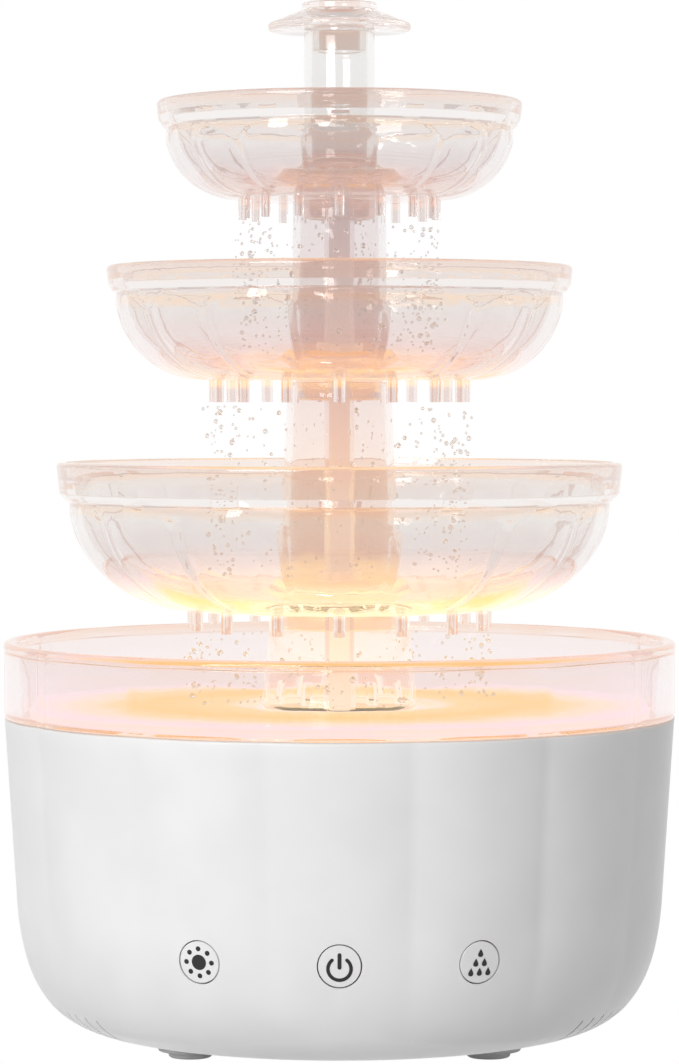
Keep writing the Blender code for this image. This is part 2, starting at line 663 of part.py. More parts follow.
def make_control_board():
    """A curved strip of circuit board, upright behind the keys."""
    outer = board_outer_radius()
    inner = outer - BOARD_THICKNESS
    steps = 18
    angles = [FRONT - BOARD_HALF_ANGLE + 2 * BOARD_HALF_ANGLE * i / steps
              for i in range(steps + 1)]
    outline = [polar(outer, a) for a in angles] + [polar(inner, a) for a in reversed(angles)]
    curve = bpy.data.curves.new("control_board", "CURVE")
    curve.dimensions = "2D"
    curve.fill_mode = "BOTH"
    curve.extrude = BOARD_HEIGHT / 2
    spline = curve.splines.new("POLY")
    spline.points.add(len(outline) - 1)
    for point, co in zip(spline.points, outline):
        point.co = (*co, 1.0)
    spline.use_cyclic_u = True
    flat = bpy.data.objects.new("outline", curve)
    CUTTERS.objects.link(flat)
    mesh = evaluated_mesh(flat)
    shape = bmesh.new()
    shape.from_mesh(mesh)
    bmesh.ops.remove_doubles(shape, verts=shape.verts[:], dist=0.00001)
    bmesh.ops.recalc_face_normals(shape, faces=shape.faces[:])
    shape.to_mesh(mesh)
    shape.free()
    mesh.transform(Matrix.Translation((0, 0, KEY_Z)))
    board = place("control_board", mesh, CIRCUIT_BOARD)
    cut(board, cylinder_mesh([(outward(inner - BOARD_THICKNESS, a, KEY_Z),
                               BOARD_SCREW_SHANK_R + GAP, 3 * BOARD_THICKNESS)
                              for a in peg_azimuths()], 8))
    head = -BOARD_SCREW_HEAD_T
    reach = GAP + BOARD_THICKNESS + BOARD_SCREW_REACH
    profile = [(0.0, reach), (BOARD_SCREW_SHANK_R, reach), (BOARD_SCREW_SHANK_R, 0.0),
               (BOARD_SCREW_HEAD_R, 0.0), (BOARD_SCREW_HEAD_R, head), (0.0, head)]
    for side, azimuth in zip(("left", "right"), peg_azimuths()):
        screw = turned(f"board_screw_{side}", profile, STEEL, 8)
        screw.matrix_world = outward(inner - GAP, azimuth, KEY_Z)


# --- power jack --------------------------------------------------------------------
def make_power_jack():
    """The round power inlet in the back wall, with its nut inside the shell."""
    seat = jack_recess_y() + GAP
    face = seat + JACK_FLANGE_T
    end = face - JACK_LENGTH
    socket = face - JACK_SOCKET_DEPTH
    profile = [(0.0, socket + JACK_SOCKET_DEPTH * 0.9), (JACK_PIN_R, socket + JACK_SOCKET_DEPTH * 0.9),
               (JACK_PIN_R, socket), (JACK_SOCKET_R, socket), (JACK_SOCKET_R, face),
               (JACK_FLANGE_R, face), (JACK_FLANGE_R, seat), (JACK_BARREL_R, seat),
               (JACK_BARREL_R, end), (0.0, end)]
    jack = turned("power_jack", profile, BLACK_PLASTIC)
    jack.location = (0.0, 0.0, JACK_Z)
    jack.rotation_euler.x = -math.pi / 2
    foot = jack_recess_y() - JACK_PAD - GAP - JACK_NUT_T
    nut = place("jack_nut", cylinder_mesh([(along_y(foot, JACK_Z), JACK_NUT_R, JACK_NUT_T)], 6),
                STEEL)
    cut(nut, cylinder_mesh([(along_y(foot - JACK_NUT_T, JACK_Z), JACK_BARREL_R + GAP,
                             3 * JACK_NUT_T)]))


# --- lights ------------------------------------------------------------------------
def make_boards():
    """The ring of lights under the diffuser, and the main board on the cover."""
    ring = turned("led_board", ring_profile(LED_BOARD_INNER_R, LED_BOARD_OUTER_R, LED_BOARD_Z,
                                            LED_BOARD_Z + BOARD_THICKNESS), CIRCUIT_BOARD, 30)
    cut(ring, cylinder_mesh(post_spots(POST_PIN_R + GAP, LED_BOARD_Z - BOARD_THICKNESS,
                                       LED_BOARD_Z + 2 * BOARD_THICKNESS), 8))
    light_z = LED_BOARD_Z + BOARD_THICKNESS + GAP + LED_HEIGHT / 2
    for i in range(LED_COUNT):
        spot = upright(LED_CIRCLE_R, FRONT + 2 * math.pi * i / LED_COUNT, light_z)
        place(f"led_{i + 1}", box_mesh([(spot, (LED_SIZE, LED_SIZE, LED_HEIGHT))]), LED_BODY)
    middle = Matrix.Translation((0, MAIN_BOARD_CENTRE_Y, MAIN_BOARD_Z + BOARD_THICKNESS / 2))
    main = place("main_board", box_mesh([(middle, (MAIN_BOARD_X, MAIN_BOARD_Y, BOARD_THICKNESS))]),
                 CIRCUIT_BOARD)
    cut(main, cylinder_mesh(main_post_spots(MAIN_PIN_R + GAP, MAIN_BOARD_Z - BOARD_THICKNESS,
                                            MAIN_BOARD_Z + 2 * BOARD_THICKNESS), 8))


def make_diffuser():
    """The opal plate on the shell's shelf, inside the basin's skirt."""
    bottom = SHELF_Z + GAP
    wide_turned("light_diffuser",
                ring_profile(WELL_R + WELL_WALL + GAP, SPIGOT_R - SPIGOT_WALL - GAP, bottom,
                             bottom + DIFFUSER_THICKNESS), OPAL)


# --- basin -------------------------------------------------------------------------
def basin_lobe_depth(radius, z):
    """Lobes on the basin's wall only, above the shell's rim."""
    return BASE_LOBE_DEPTH if z > BASIN_FLOOR_Z - GAP and radius > SPIGOT_R - GAP else 0.0


def make_basin():
    """The clear basin: lobed wall, flat floor, skirt inside the shell, pump well."""
    seat = BASE_TOP_Z + GAP
    floor_bottom = BASIN_FLOOR_Z - BASIN_FLOOR_T
    skirt_bottom = SHELF_Z + GAP + GASKET_THICKNESS + GAP
    inner = BASIN_R - BASIN_WALL
    bead = BASIN_WALL / 2
    rim = [(BASIN_R - bead - bead * math.cos(t), BASIN_TOP_Z - bead + bead * math.sin(t))
           for t in (math.pi * i / 4 for i in range(5))]
    profile = [
        (0.0, WELL_FLOOR_Z), (WELL_R, WELL_FLOOR_Z), (WELL_R, BASIN_FLOOR_Z),
        (inner, BASIN_FLOOR_Z), *rim, (BASIN_R, seat), (SPIGOT_R, seat),
        (SPIGOT_R, skirt_bottom), (SPIGOT_R - SPIGOT_WALL, skirt_bottom),
        (SPIGOT_R - SPIGOT_WALL, floor_bottom), (WELL_R + WELL_WALL, floor_bottom),
        (WELL_R + WELL_WALL, WELL_FLOOR_Z - WELL_WALL), (0.0, WELL_FLOOR_Z - WELL_WALL),
    ]
    place("basin", lobed_mesh(profile, basin_lobe_depth), CLEAR)
    bottom = SHELF_Z + GAP
    wide_turned("basin_gasket", ring_profile(SPIGOT_R - SPIGOT_WALL, SPIGOT_R, bottom,
                                             bottom + GASKET_THICKNESS), SILICONE)


# --- pump --------------------------------------------------------------------------
def make_pump():
    """A small centrifugal pump in the basin's well."""
    at_pump = Matrix.Translation((PUMP_X, 0, 0))
    at_rotor = Matrix.Translation((ROTOR_X, 0, 0))
    foot = WELL_FLOOR_Z + GAP
    body_mesh = cylinder_mesh([(at_pump @ Matrix.Translation((0, 0, foot)), PUMP_R,
                                PUMP_SPLIT_Z - foot)])
    body = place("pump_body", body_mesh, BLACK_PLASTIC)
    pocket = ROTOR_BOTTOM_Z - GAP
    shaft_foot = pocket - 2 * SHAFT_R
    cut(body, cylinder_mesh([(at_rotor @ Matrix.Translation((0, 0, pocket)), ROTOR_R + GAP,
                              PUMP_SPLIT_Z)]))
    cut(body, cylinder_mesh([(at_rotor @ Matrix.Translation((0, 0, shaft_foot - GAP)),
                              SHAFT_R + GAP, PUMP_SPLIT_Z)], 12))
    shaft = turned("pump_shaft", disc_profile(SHAFT_R, shaft_foot, IMPELLER_TOP_Z), CERAMIC, 12)
    shaft.location.x = ROTOR_X
    cover_z = PUMP_SPLIT_Z + GAP
    cover = place("pump_cover", cylinder_mesh([
        (at_pump @ Matrix.Translation((0, 0, cover_z)), PUMP_R, PUMP_TOP_Z - cover_z)]),
        BLACK_PLASTIC)
    join(cover, cylinder_mesh([(Matrix.Translation((0, 0, PUMP_TOP_Z - CHAMBER_ROOF)), OUTLET_R,
                                OUTLET_TOP_Z - PUMP_TOP_Z + CHAMBER_ROOF)]))
    roof = PUMP_TOP_Z - CHAMBER_ROOF
    cut(cover, cylinder_mesh([(at_rotor @ Matrix.Translation((0, 0, foot)),
                               IMPELLER_R + CHAMBER_CLEARANCE, roof - foot)]))
    cut(cover, cylinder_mesh([(at_rotor @ Matrix.Translation((0, 0, foot)), INLET_R,
                               PUMP_TOP_Z)]))
    mouth = (cover_z + roof) / 2
    cut(cover, cylinder_mesh([(Matrix.Translation((0, 0, mouth)), OUTLET_BORE_R, PUMP_TOP_Z)], 16))
    cut(cover, cylinder_mesh([(Matrix.Translation((0, 0, OUTLET_TOP_Z - PIPE_SEAT)), PIPE_BORE_R,
                               PUMP_TOP_Z)]))
    make_rotor(pocket)


def make_rotor(pocket):
    """The pump's magnet and impeller, which turn together on the fixed shaft."""
    disc = PUMP_SPLIT_Z + GAP
    bore = SHAFT_R + GAP
    profile = [(bore, disc + IMPELLER_T), (IMPELLER_R, disc + IMPELLER_T), (IMPELLER_R, disc),
               (ROTOR_R, disc), (ROTOR_R, pocket + GAP), (bore, pocket + GAP)]
    rotor = turned("pump_rotor", profile, BLACK_PLASTIC)
    rotor.location.x = ROTOR_X
    blade_foot = disc + IMPELLER_T / 2
    hub = 2 * SHAFT_R
    size = (IMPELLER_R - hub, BLADE_T, IMPELLER_TOP_Z - blade_foot)
    middle = ((IMPELLER_R + hub) / 2 - BLADE_T / 2, 0, (IMPELLER_TOP_Z + blade_foot) / 2)
    at_rotor = Matrix.Translation((ROTOR_X, 0, 0))
    join(rotor, box_mesh([(at_rotor @ Matrix.Rotation(2 * math.pi * i / BLADES, 4, "Z")
                           @ Matrix.Translation(middle), size) for i in range(BLADES)]))


# --- bowls and columns -------------------------------------------------------------
def floor_top(bowl):
    """The upper face of a bowl's floor."""
    return bowl["floor_z"] + BOWL_WALL


def ellipse_arc(flat_r, side_r, bottom, top, steps):
    """A quarter ellipse from the side at the top down to the flat at the bottom."""
    return [(flat_r + (side_r - flat_r) * math.cos(t), top - (top - bottom) * math.sin(t))
            for t in (math.pi / 2 * i / steps for i in range(steps + 1))]


def bowl_lobe_depth(bowl):
    """A bowl's lobes start under its round rim band and fade out on the flat bottom."""
    def depth(radius, z):
        under_step = bowl["floor_z"] + bowl["step"] - 2 * GAP
        if z > under_step or radius < bowl["flat_r"] - GAP:
            return 0.0
        return bowl["lobe"] * min(1.0, (radius - bowl["flat_r"]) / (BOWL_WALL * 2))
    return depth


def nozzle_places(bowl):
    """A ring of nozzles, one under each lobe."""
    return [polar(bowl["nozzle_ring"], FRONT + LOBE_ANGLE * i) for i in range(LOBES)]


def make_bowl(bowl, column_above, column_below):
    """A clear bowl: round rim band, lobed body, flat floor with rain nozzles, a socket
    above for the next column and a plug ring below for the column under it."""
    wall = BOWL_WALL
    floor, top = bowl["floor_z"], floor_top(bowl)
    rim_r, rim_z, step = bowl["rim_r"], floor + bowl["rim"], floor + bowl["step"]
    socket_r = column_above + GAP
    plug_r = column_below - COLUMN_WALL - GAP
    outside = [(rim_r - RIM_BEAD, rim_z), (rim_r, rim_z - RIM_BEAD / 2),
               (rim_r, rim_z - RIM_BEAD * 1.5), (bowl["band_r"], step),
               *ellipse_arc(bowl["flat_r"], bowl["body_r"], floor, step - 2 * GAP, 5),
               (plug_r, floor), (plug_r, floor - PLUG_DEPTH),
               (plug_r - PLUG_WALL, floor - PLUG_DEPTH), (plug_r - PLUG_WALL, floor),
               (PIPE_BORE_R, floor)]
    inside = [(PIPE_BORE_R, top), (socket_r, top), (socket_r, top + SOCKET_HEIGHT),
              (socket_r + SOCKET_WALL, top + SOCKET_HEIGHT), (socket_r + SOCKET_WALL, top),
              *reversed(ellipse_arc(bowl["flat_r"], bowl["body_r"] - wall, top,
                                    step - 2 * GAP, 4)),
              (rim_r - RIM_BEAD * 2, rim_z - RIM_BEAD / 2)]
    obj = place(bowl["name"], lobed_mesh(outside + inside, bowl_lobe_depth(bowl)), CLEAR)
    places = nozzle_places(bowl)
    tip = floor - bowl["nozzle"]
    join(obj, cylinder_mesh([(Matrix.Translation(p + Vector((0, 0, tip))), bowl["nozzle_r"],
                              floor + wall / 2 - tip) for p in places], NOZZLE_SIDES))
    cut(obj, cylinder_mesh([(Matrix.Translation(p + Vector((0, 0, tip - wall))), NOZZLE_BORE_R,
                             top + 2 * wall - tip) for p in places], 4))
    return obj


def make_column(name, radii, foot, head):
    """A tapered clear tube, given its outer radii at the foot and at the head."""
    low, high = radii
    return turned(name, [(high - COLUMN_WALL, head), (high, head), (low, foot),
                         (low - COLUMN_WALL, foot)], CLEAR)


def make_lower_column():
    """The widest column: flange on the basin's floor, skirt in the well's mouth, and
    intake slots all round its foot."""
    low, high = LOWER_COLUMN_R
    foot = BASIN_FLOOR_Z + GAP
    head = LARGE["floor_z"] - GAP
    skirt_r = WELL_R - GAP
    inner = low - COLUMN_WALL
    profile = [(high - COLUMN_WALL, head), (high, head), (low, foot + COLUMN_FOOT_T),
               (COLUMN_FOOT_R, foot + COLUMN_FOOT_T), (COLUMN_FOOT_R, foot), (skirt_r, foot),
               (skirt_r, foot - COLUMN_SKIRT), (inner, foot - COLUMN_SKIRT),
               (inner, foot + COLUMN_FOOT_T)]
    column = turned("lower_column", profile, CLEAR, 2 * INTAKE_SLOTS)
    size = (4 * COLUMN_WALL, INTAKE_WIDTH, INTAKE_HEIGHT)
    slot_z = foot + 2 * COLUMN_FOOT_T + INTAKE_HEIGHT / 2
    turn = 2 * math.pi / INTAKE_SLOTS
    cut(column, box_mesh([(upright(low, FRONT + turn * i, slot_z), size)
                          for i in range(INTAKE_SLOTS)]))


def make_riser(name, bottom, top):
    """One length of the riser pipe."""
    turned(name, ring_profile(PIPE_R - PIPE_WALL, PIPE_R, bottom, top), CLEAR, 16)


def make_seal(name, bowl):
    """The sleeve round the joint of two pipes, on a bowl's floor."""
    bottom = floor_top(bowl) + GAP
    turned(name, ring_profile(PIPE_BORE_R, PIPE_BORE_R + SEAL_WALL, bottom,
                              bottom + SEAL_HEIGHT), SILICONE, 16)


def make_tiers():
    """Columns, bowls, pipes and seals, from the basin up."""
    make_lower_column()
    make_bowl(LARGE, MIDDLE_COLUMN_R[0], LOWER_COLUMN_R[1])
    make_column("middle_column", MIDDLE_COLUMN_R, floor_top(LARGE) + GAP, MIDDLE["floor_z"] - GAP)
    make_bowl(MIDDLE, UPPER_COLUMN_R[0], MIDDLE_COLUMN_R[1])
    make_column("upper_column", UPPER_COLUMN_R, floor_top(MIDDLE) + GAP, SMALL["floor_z"] - GAP)
    make_bowl(SMALL, SPOUT_FOOT_R, UPPER_COLUMN_R[1])
    joints = [OUTLET_TOP_Z - PIPE_SEAT]
    joints += [floor_top(bowl) + GAP + SEAL_HEIGHT / 2 for bowl in (LARGE, MIDDLE)]
    joints.append(floor_top(SMALL))
    names = ("riser_lower", "riser_middle", "riser_upper")
    for name, bottom, top in zip(names, joints[:-1], joints[1:]):
        make_riser(name, bottom + GAP, top)
    make_seal("riser_seal_lower", LARGE)
    make_seal("riser_seal_upper", MIDDLE)


# --- spout -------------------------------------------------------------------------
def make_spout():
    """The flared tube in the small bowl, its seal, and the umbrella cap on top."""
    seat = floor_top(SMALL) + GAP
    bore = SPOUT_R - SPOUT_WALL
    turned("spout_seal", ring_profile(SPOUT_FOOT_R - 2 * SPOUT_WALL, SPOUT_FOOT_R, seat,
                                      seat + SPOUT_SEAL_T), SILICONE)
    foot = seat + SPOUT_SEAL_T + GAP
    flare = [(SPOUT_FOOT_R - (SPOUT_FOOT_R - SPOUT_R) * math.sin(t),
              foot + SPOUT_WALL + SPOUT_FLARE * (1 - math.cos(t)))
             for t in (math.pi / 2 * i / 4 for i in range(5))]
    low, high = SPOUT_COLLAR_Z
    ease = SPOUT_COLLAR_R - SPOUT_R
    profile = [(bore, SPOUT_TOP_Z), (SPOUT_R, SPOUT_TOP_Z), (SPOUT_R, high + ease / 2),
               (SPOUT_COLLAR_R, high), (SPOUT_COLLAR_R, low), (SPOUT_R, low - ease / 2),
               *reversed(flare), (SPOUT_FOOT_R, foot), (bore, foot)]
    turned("spout_tube", profile, CLEAR)
    under = SPOUT_TOP_Z + GAP
    lip = [(CAP_TIP_R - CAP_LIP + CAP_LIP * math.sin(t), CAP_TIP_Z + CAP_LIP * math.cos(t))
           for t in (math.pi / 3 * i for i in range(1, 4))]
    cap = [(CAP_BORE_R, CAP_TOP_Z), (CAP_RING_R, CAP_TOP_Z), (CAP_RING_R, CAP_RING_Z), *lip,
           (SPOUT_R + SPOUT_WALL, under), (bore - GAP, under), (bore - GAP, under - CAP_PLUG),
           (CAP_BORE_R, under - CAP_PLUG)]
    turned("spout_cap", cap, CLEAR, 24)


def main():
    """Build every piece, from the ground up."""
    make_shell()
    make_bottom_cover()
    make_feet()
    make_cover_screws()
    make_keys()
    make_switches()
    make_control_board()
    make_power_jack()
    make_boards()
    make_diffuser()
    make_basin()
    make_pump()
    make_tiers()
    make_spout()


main()
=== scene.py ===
"""Looks of the tabletop water fountain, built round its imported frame.

Every visible piece is a fine surface worked out with numpy.  It stands for the coarse
solid of the same name, or, like the icons and the falling drops, is new.  Lengths are in
metres, +Z up, the keys face -Y.
"""

import math

import bpy
import numpy as np
from mathutils import Matrix, Vector


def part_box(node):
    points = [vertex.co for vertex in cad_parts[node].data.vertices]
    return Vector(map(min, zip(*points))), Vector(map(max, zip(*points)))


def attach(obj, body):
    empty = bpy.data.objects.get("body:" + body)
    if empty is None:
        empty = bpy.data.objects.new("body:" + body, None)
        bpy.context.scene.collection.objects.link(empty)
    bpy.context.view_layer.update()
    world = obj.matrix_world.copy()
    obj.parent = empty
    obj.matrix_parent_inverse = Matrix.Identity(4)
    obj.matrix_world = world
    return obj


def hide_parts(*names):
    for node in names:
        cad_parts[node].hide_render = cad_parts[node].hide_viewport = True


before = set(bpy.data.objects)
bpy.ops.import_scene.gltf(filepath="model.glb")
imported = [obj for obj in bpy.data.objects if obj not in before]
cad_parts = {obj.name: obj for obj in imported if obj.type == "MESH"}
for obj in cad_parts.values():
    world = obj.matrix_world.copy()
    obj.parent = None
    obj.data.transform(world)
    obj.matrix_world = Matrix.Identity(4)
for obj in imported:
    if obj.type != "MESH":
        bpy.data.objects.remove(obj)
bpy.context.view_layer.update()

MM = 0.001
FRONT = -math.pi / 2
LOBES = 15
LOBE_ANGLE = 2 * math.pi / LOBES
CREASE = FRONT + LOBE_ANGLE / 2


# --- sizes from the frame ---
def span(node):
    """A node's radius across its front-to-back side, its lowest and its highest z."""
    low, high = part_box(node)
    return (high[1] - low[1]) / 2, low[2], high[2]


def top_of(node):
    """A node's highest z."""
    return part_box(node)[1][2]


def bottom_of(node):
    """A node's lowest z."""
    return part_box(node)[0][2]


# --- colours and nodes ---
def linear(colour):
    """An sRGB hex colour as linear RGBA."""
    parts = [int(colour[i:i + 2], 16) / 255 for i in (1, 3, 5)]
    return (*[c / 12.92 if c <= 0.04045 else ((c + 0.055) / 1.055) ** 2.4 for c in parts], 1.0)


def add(tree, kind, inputs=None, **settings):
    """Add a node: settings are its properties, inputs its values or links."""
    made = tree.nodes.new(kind)
    for name, value in settings.items():
        setattr(made, name, value)
    for name, value in (inputs or {}).items():
        if isinstance(value, bpy.types.NodeSocket):
            tree.links.new(value, made.inputs[name])
        else:
            made.inputs[name].default_value = value
    return made


def ramp(tree, factor, stops, interpolation="EASE"):
    """A colour ramp on a factor, from (position, hex colour) stops."""
    made = add(tree, "ShaderNodeValToRGB", {0: factor})
    made.color_ramp.interpolation = interpolation
    elements = made.color_ramp.elements
    while len(elements) < len(stops):
        elements.new(0.5)
    for element, (position, colour) in zip(elements, stops):
        element.position = position
        element.color = linear(colour)
    return made.outputs["Color"]


def new_material(name):
    """An empty node material with its output node."""
    made = bpy.data.materials.new(name)
    made.use_nodes = True
    made.node_tree.nodes.clear()
    return made, made.node_tree, made.node_tree.nodes.new("ShaderNodeOutputMaterial")


def object_point(tree):
    """The Object coordinate and its separate X, Y, Z."""
    point = add(tree, "ShaderNodeTexCoord").outputs["Object"]
    return point, add(tree, "ShaderNodeSeparateXYZ", {0: point})


def axis_distance(tree, parts):
    """Distance of the separated Object coordinate from the upright axis."""
    flat = add(tree, "ShaderNodeCombineXYZ", {0: parts.outputs["X"], 1: parts.outputs["Y"]})
    return add(tree, "ShaderNodeVectorMath", {0: flat.outputs[0]},
               operation="LENGTH").outputs["Value"]


def noise(tree, point, scale, detail=2.0, distortion=0.0):
    """Smooth noise with so many waves to the metre."""
    return add(tree, "ShaderNodeTexNoise", {"Vector": point, "Scale": scale, "Detail": detail,
                                            "Distortion": distortion}).outputs["Fac"]


def maths(tree, operation, *values):
    """The result of one Math node."""
    return add(tree, "ShaderNodeMath", dict(enumerate(values)), operation=operation).outputs[0]


def blended(tree, factor, first, second):
    """One shader mixed into another."""
    return add(tree, "ShaderNodeMixShader",
               {0: factor, 1: first.outputs[0], 2: second.outputs[0]})


def mapped(tree, value, to_min, to_max, from_min=0.0, from_max=1.0):
    """A value carried linearly from one range to another."""
    return add(tree, "ShaderNodeMapRange",
               {"Value": value, "From Min": from_min, "From Max": from_max,
                "To Min": to_min, "To Max": to_max}).outputs["Result"]


def bump(tree, height, strength, distance):
    """A normal tilted by a height."""
    return add(tree, "ShaderNodeBump", {"Height": height, "Strength": strength,
                                        "Distance": distance}).outputs["Normal"]


def principled(tree, output, inputs):
    """A Principled surface as the whole material."""
    shader = add(tree, "ShaderNodeBsdfPrincipled", inputs)
    tree.links.new(shader.outputs[0], output.inputs["Surface"])


GRAIN_DEPTH = 0.02 * MM
MOTTLE_SCALE = 35.0


def moulded(name, colour, darker, roughness, grain_mm, relief, ior=1.5):
    """Moulded plastic or rubber: fine spark-eroded grain, slight change of tone."""
    made, tree, output = new_material(name)
    point, _ = object_point(tree)
    fine = noise(tree, point, 1 / (grain_mm * MM), 3.0)
    broad = noise(tree, point, MOTTLE_SCALE)
    principled(tree, output, {
        "Base Color": ramp(tree, broad, [(0.35, darker), (0.65, colour)]),
        "Roughness": mapped(tree, fine, roughness - 0.05, roughness + 0.06),
        "Normal": bump(tree, fine, relief, GRAIN_DEPTH), "IOR": ior})
    return made


PAINTED_HAZE_TURNS = 7
RIPPLE_SCALE = 90.0
RIPPLE_DEPTH = 1.0 * MM
LEVEL_BLUR = 0.08


def clear(name, low, high, painted_tints, painted_glows, painted_haze, ripple=0.10, ior=1.49, rough=0.02):
    """Clear injection-moulded acrylic that the base lights from below.

    The three colour ramps over the height from low to high are painted light: the first paints
    the warm light that runs up inside the plastic into its colour, the second is a painted glow
    given off by the lower parts, and the third a painted warm haze given off where light has
    been turned many times in the plastic.
    """
    made, tree, output = new_material(name)
    point, parts = object_point(tree)
    height = mapped(tree, parts.outputs["Z"], 0.0, 1.0, low, high)
    wave = noise(tree, point, RIPPLE_SCALE)
    middle = maths(tree, "SUBTRACT", height, LEVEL_BLUR / 2)
    level = maths(tree, "MULTIPLY_ADD", wave, LEVEL_BLUR, middle)
    # Painted light: the colour by height stands in for the warm light inside the plastic, and the
    # emission is a painted glow.
    painted_tint = ramp(tree, level, painted_tints)
    shader = add(tree, "ShaderNodeBsdfPrincipled",
                 {"Base Color": painted_tint, "Roughness": rough, "Transmission Weight": 1.0,
                  "IOR": ior, "Normal": bump(tree, wave, ripple, RIPPLE_DEPTH),
                  "Emission Color": ramp(tree, level, painted_glows), "Emission Strength": 1.0})
    path = add(tree, "ShaderNodeLightPath")
    # Painted haze: once a ray has turned more than so many times, the plastic gives off a warm
    # painted glow instead.
    often = maths(tree, "GREATER_THAN", path.outputs["Ray Depth"], PAINTED_HAZE_TURNS - 0.5)
    painted_haze_glow = add(tree, "ShaderNodeEmission", {"Color": ramp(tree, level, painted_haze)})
    body = blended(tree, often, shader, painted_haze_glow)
    window = add(tree, "ShaderNodeBsdfTransparent", {"Color": painted_tint})
    lets_light = maths(tree, "MAXIMUM", path.outputs["Is Shadow Ray"],
                       path.outputs["Is Diffuse Ray"])
    mix = blended(tree, lets_light, body, window)
    tree.links.new(mix.outputs[0], output.inputs["Surface"])
    return made


# --- numpy shapes ---
def outline(corners, steps=5):
    """A closed profile from (radius, height, fillet) corners, each fillet an arc."""
    points = np.array([c[:2] for c in corners], float)
    before = np.roll(points, 1, 0) - points
    after = np.roll(points, -1, 0) - points
    before /= np.linalg.norm(before, axis=1)[:, None]
    after /= np.linalg.norm(after, axis=1)[:, None]
    rows = []
    for p, u, v, (_, _, fillet) in zip(points, before, after, corners):
        if fillet <= 0.0:
            rows.append(p[None, :])
            continue
        half = math.acos(float(np.clip(u @ v, -1, 1))) / 2
        middle = (u + v) / np.linalg.norm(u + v)
        centre = p + middle * fillet / math.sin(half)
        turn = math.pi / 2 - half
        side = p + u * fillet / math.tan(half) - centre
        sense = np.sign(side[0] * -middle[1] + side[1] * middle[0])
        angles = sense * np.linspace(0, 2 * turn, steps + 1)
        cos, sin = np.cos(angles), np.sin(angles)
        rows.append(centre + np.stack([side[0] * cos - side[1] * sin,
                                       side[0] * sin + side[1] * cos], 1))
    return np.vstack(rows)


def dense(points, spacing):
    """A closed profile with points added along its long straight stretches."""
    after = np.roll(points, -1, 0)
    rows = []
    for p, q in zip(points, after):
        count = max(1, int(np.linalg.norm(q - p) / spacing))
        rows.append(p + (q - p) * (np.arange(count) / count)[:, None])
    return np.vstack(rows)


def lobe_fall(azimuth):
    """0 on a lobe's crest, rising as a square to 1 in the crease beside it."""
    phase = (azimuth - FRONT) / LOBE_ANGLE
    return (2 * (phase - np.round(phase))) ** 2


def placed(name, data):
    """A new object in the scene, of a mesh, a camera or a light."""
    obj = bpy.data.objects.new(name, data)
    bpy.context.scene.collection.objects.link(obj)
    return obj


SHARP_ANGLE = math.radians(40)


def shade(mesh):
    """Smooth faces, with a sharp edge where two of them meet at more than SHARP_ANGLE."""
    mesh.shade_smooth()
    mesh.set_sharp_from_angle(angle=SHARP_ANGLE)


def to_mesh(name, points, faces):
    """A shaded mesh object of points and faces."""
    mesh = bpy.data.meshes.new(name)
    mesh.from_pydata(points.tolist(), [], faces)
    shade(mesh)
    return placed(name, mesh)


def quads(rows, columns, wrap_rows):
    """Faces of a grid that closes across its columns, and down its rows if asked."""
    i = np.arange(rows if wrap_rows else rows - 1)[:, None]
    j = np.arange(columns)[None, :]
    a = i * columns + j
    b = (i + 1) % rows * columns + j
    c = (i + 1) % rows * columns + (j + 1) % columns
    d = i * columns + (j + 1) % columns
    return np.stack([a, b, c, d], -1).reshape(-1, 4)


def pole_fans(rows, columns):
    """Triangles from a grid's first and last rows to the two poles that follow it."""
    first = rows * columns
    base = first - columns
    j = np.arange(columns)
    sides = list(zip(j.tolist(), ((j + 1) % columns).tolist()))
    return ([[first, a, b] for a, b in sides]
            + [[base + a, first + 1, base + b] for a, b in sides])


def turned(name, profile, columns=96, sink=None, centre=(0.0, 0.0)):
    """Turn a profile of (radius, height) rows about Z: row i, column j is at radius
    r_i - sink(r_i, z_i, fall_j).  A profile that starts and ends on the axis closes
    there in a fan, any other closes on itself as a ring."""
    profile = np.asarray(profile, float)
    poles = profile[0, 0] < 1e-9 and profile[-1, 0] < 1e-9
    azimuth = CREASE + 2 * math.pi * np.arange(columns) / columns
    rows = profile[1:-1] if poles else profile
    radius, height = rows[:, :1], rows[:, 1:]
    reach = np.broadcast_to(radius, (len(rows), columns)).copy()
    if sink is not None:
        reach -= sink(radius, height, lobe_fall(azimuth)[None, :])
    x = centre[0] + reach * np.cos(azimuth)
    y = centre[1] + reach * np.sin(azimuth)
    z = np.broadcast_to(height, reach.shape)
    points = np.stack([x, y, z], -1).reshape(-1, 3)
    faces = quads(len(rows), columns, not poles).tolist()
    if poles:
        points = np.vstack([points, [[*centre, profile[0, 1]], [*centre, profile[-1, 1]]]])
        faces += pole_fans(len(rows), columns)
    return to_mesh(name, points, faces)


def tubes(name, spots, outer, sides=20, inner=None):
    """Upright closed cylinders, or pipes where an inner radius is given.  A spot is
    (x, y, low, high), and outer is (radius at the foot, radius at the head)."""
    angle = 2 * math.pi * np.arange(sides) / sides
    ring = np.stack([np.cos(angle), np.sin(angle)], 1)
    points, faces = [], []
    for i, (x, y, low, high) in enumerate(spots):
        rings = [(outer[1], high), (outer[0], low)]
        if inner is not None:
            rings = [(inner, high), *rings, (inner, low)]
        start = i * len(rings) * sides
        points += [np.column_stack([ring * r + (x, y), np.full(sides, z)]) for r, z in rings]
        faces += (quads(len(rings), sides, inner is not None) + start).tolist()
        if inner is None:
            faces.append((start + np.arange(sides)).tolist())
            faces.append((start + sides + np.arange(sides))[::-1].tolist())
    return to_mesh(name, np.vstack(points), faces)


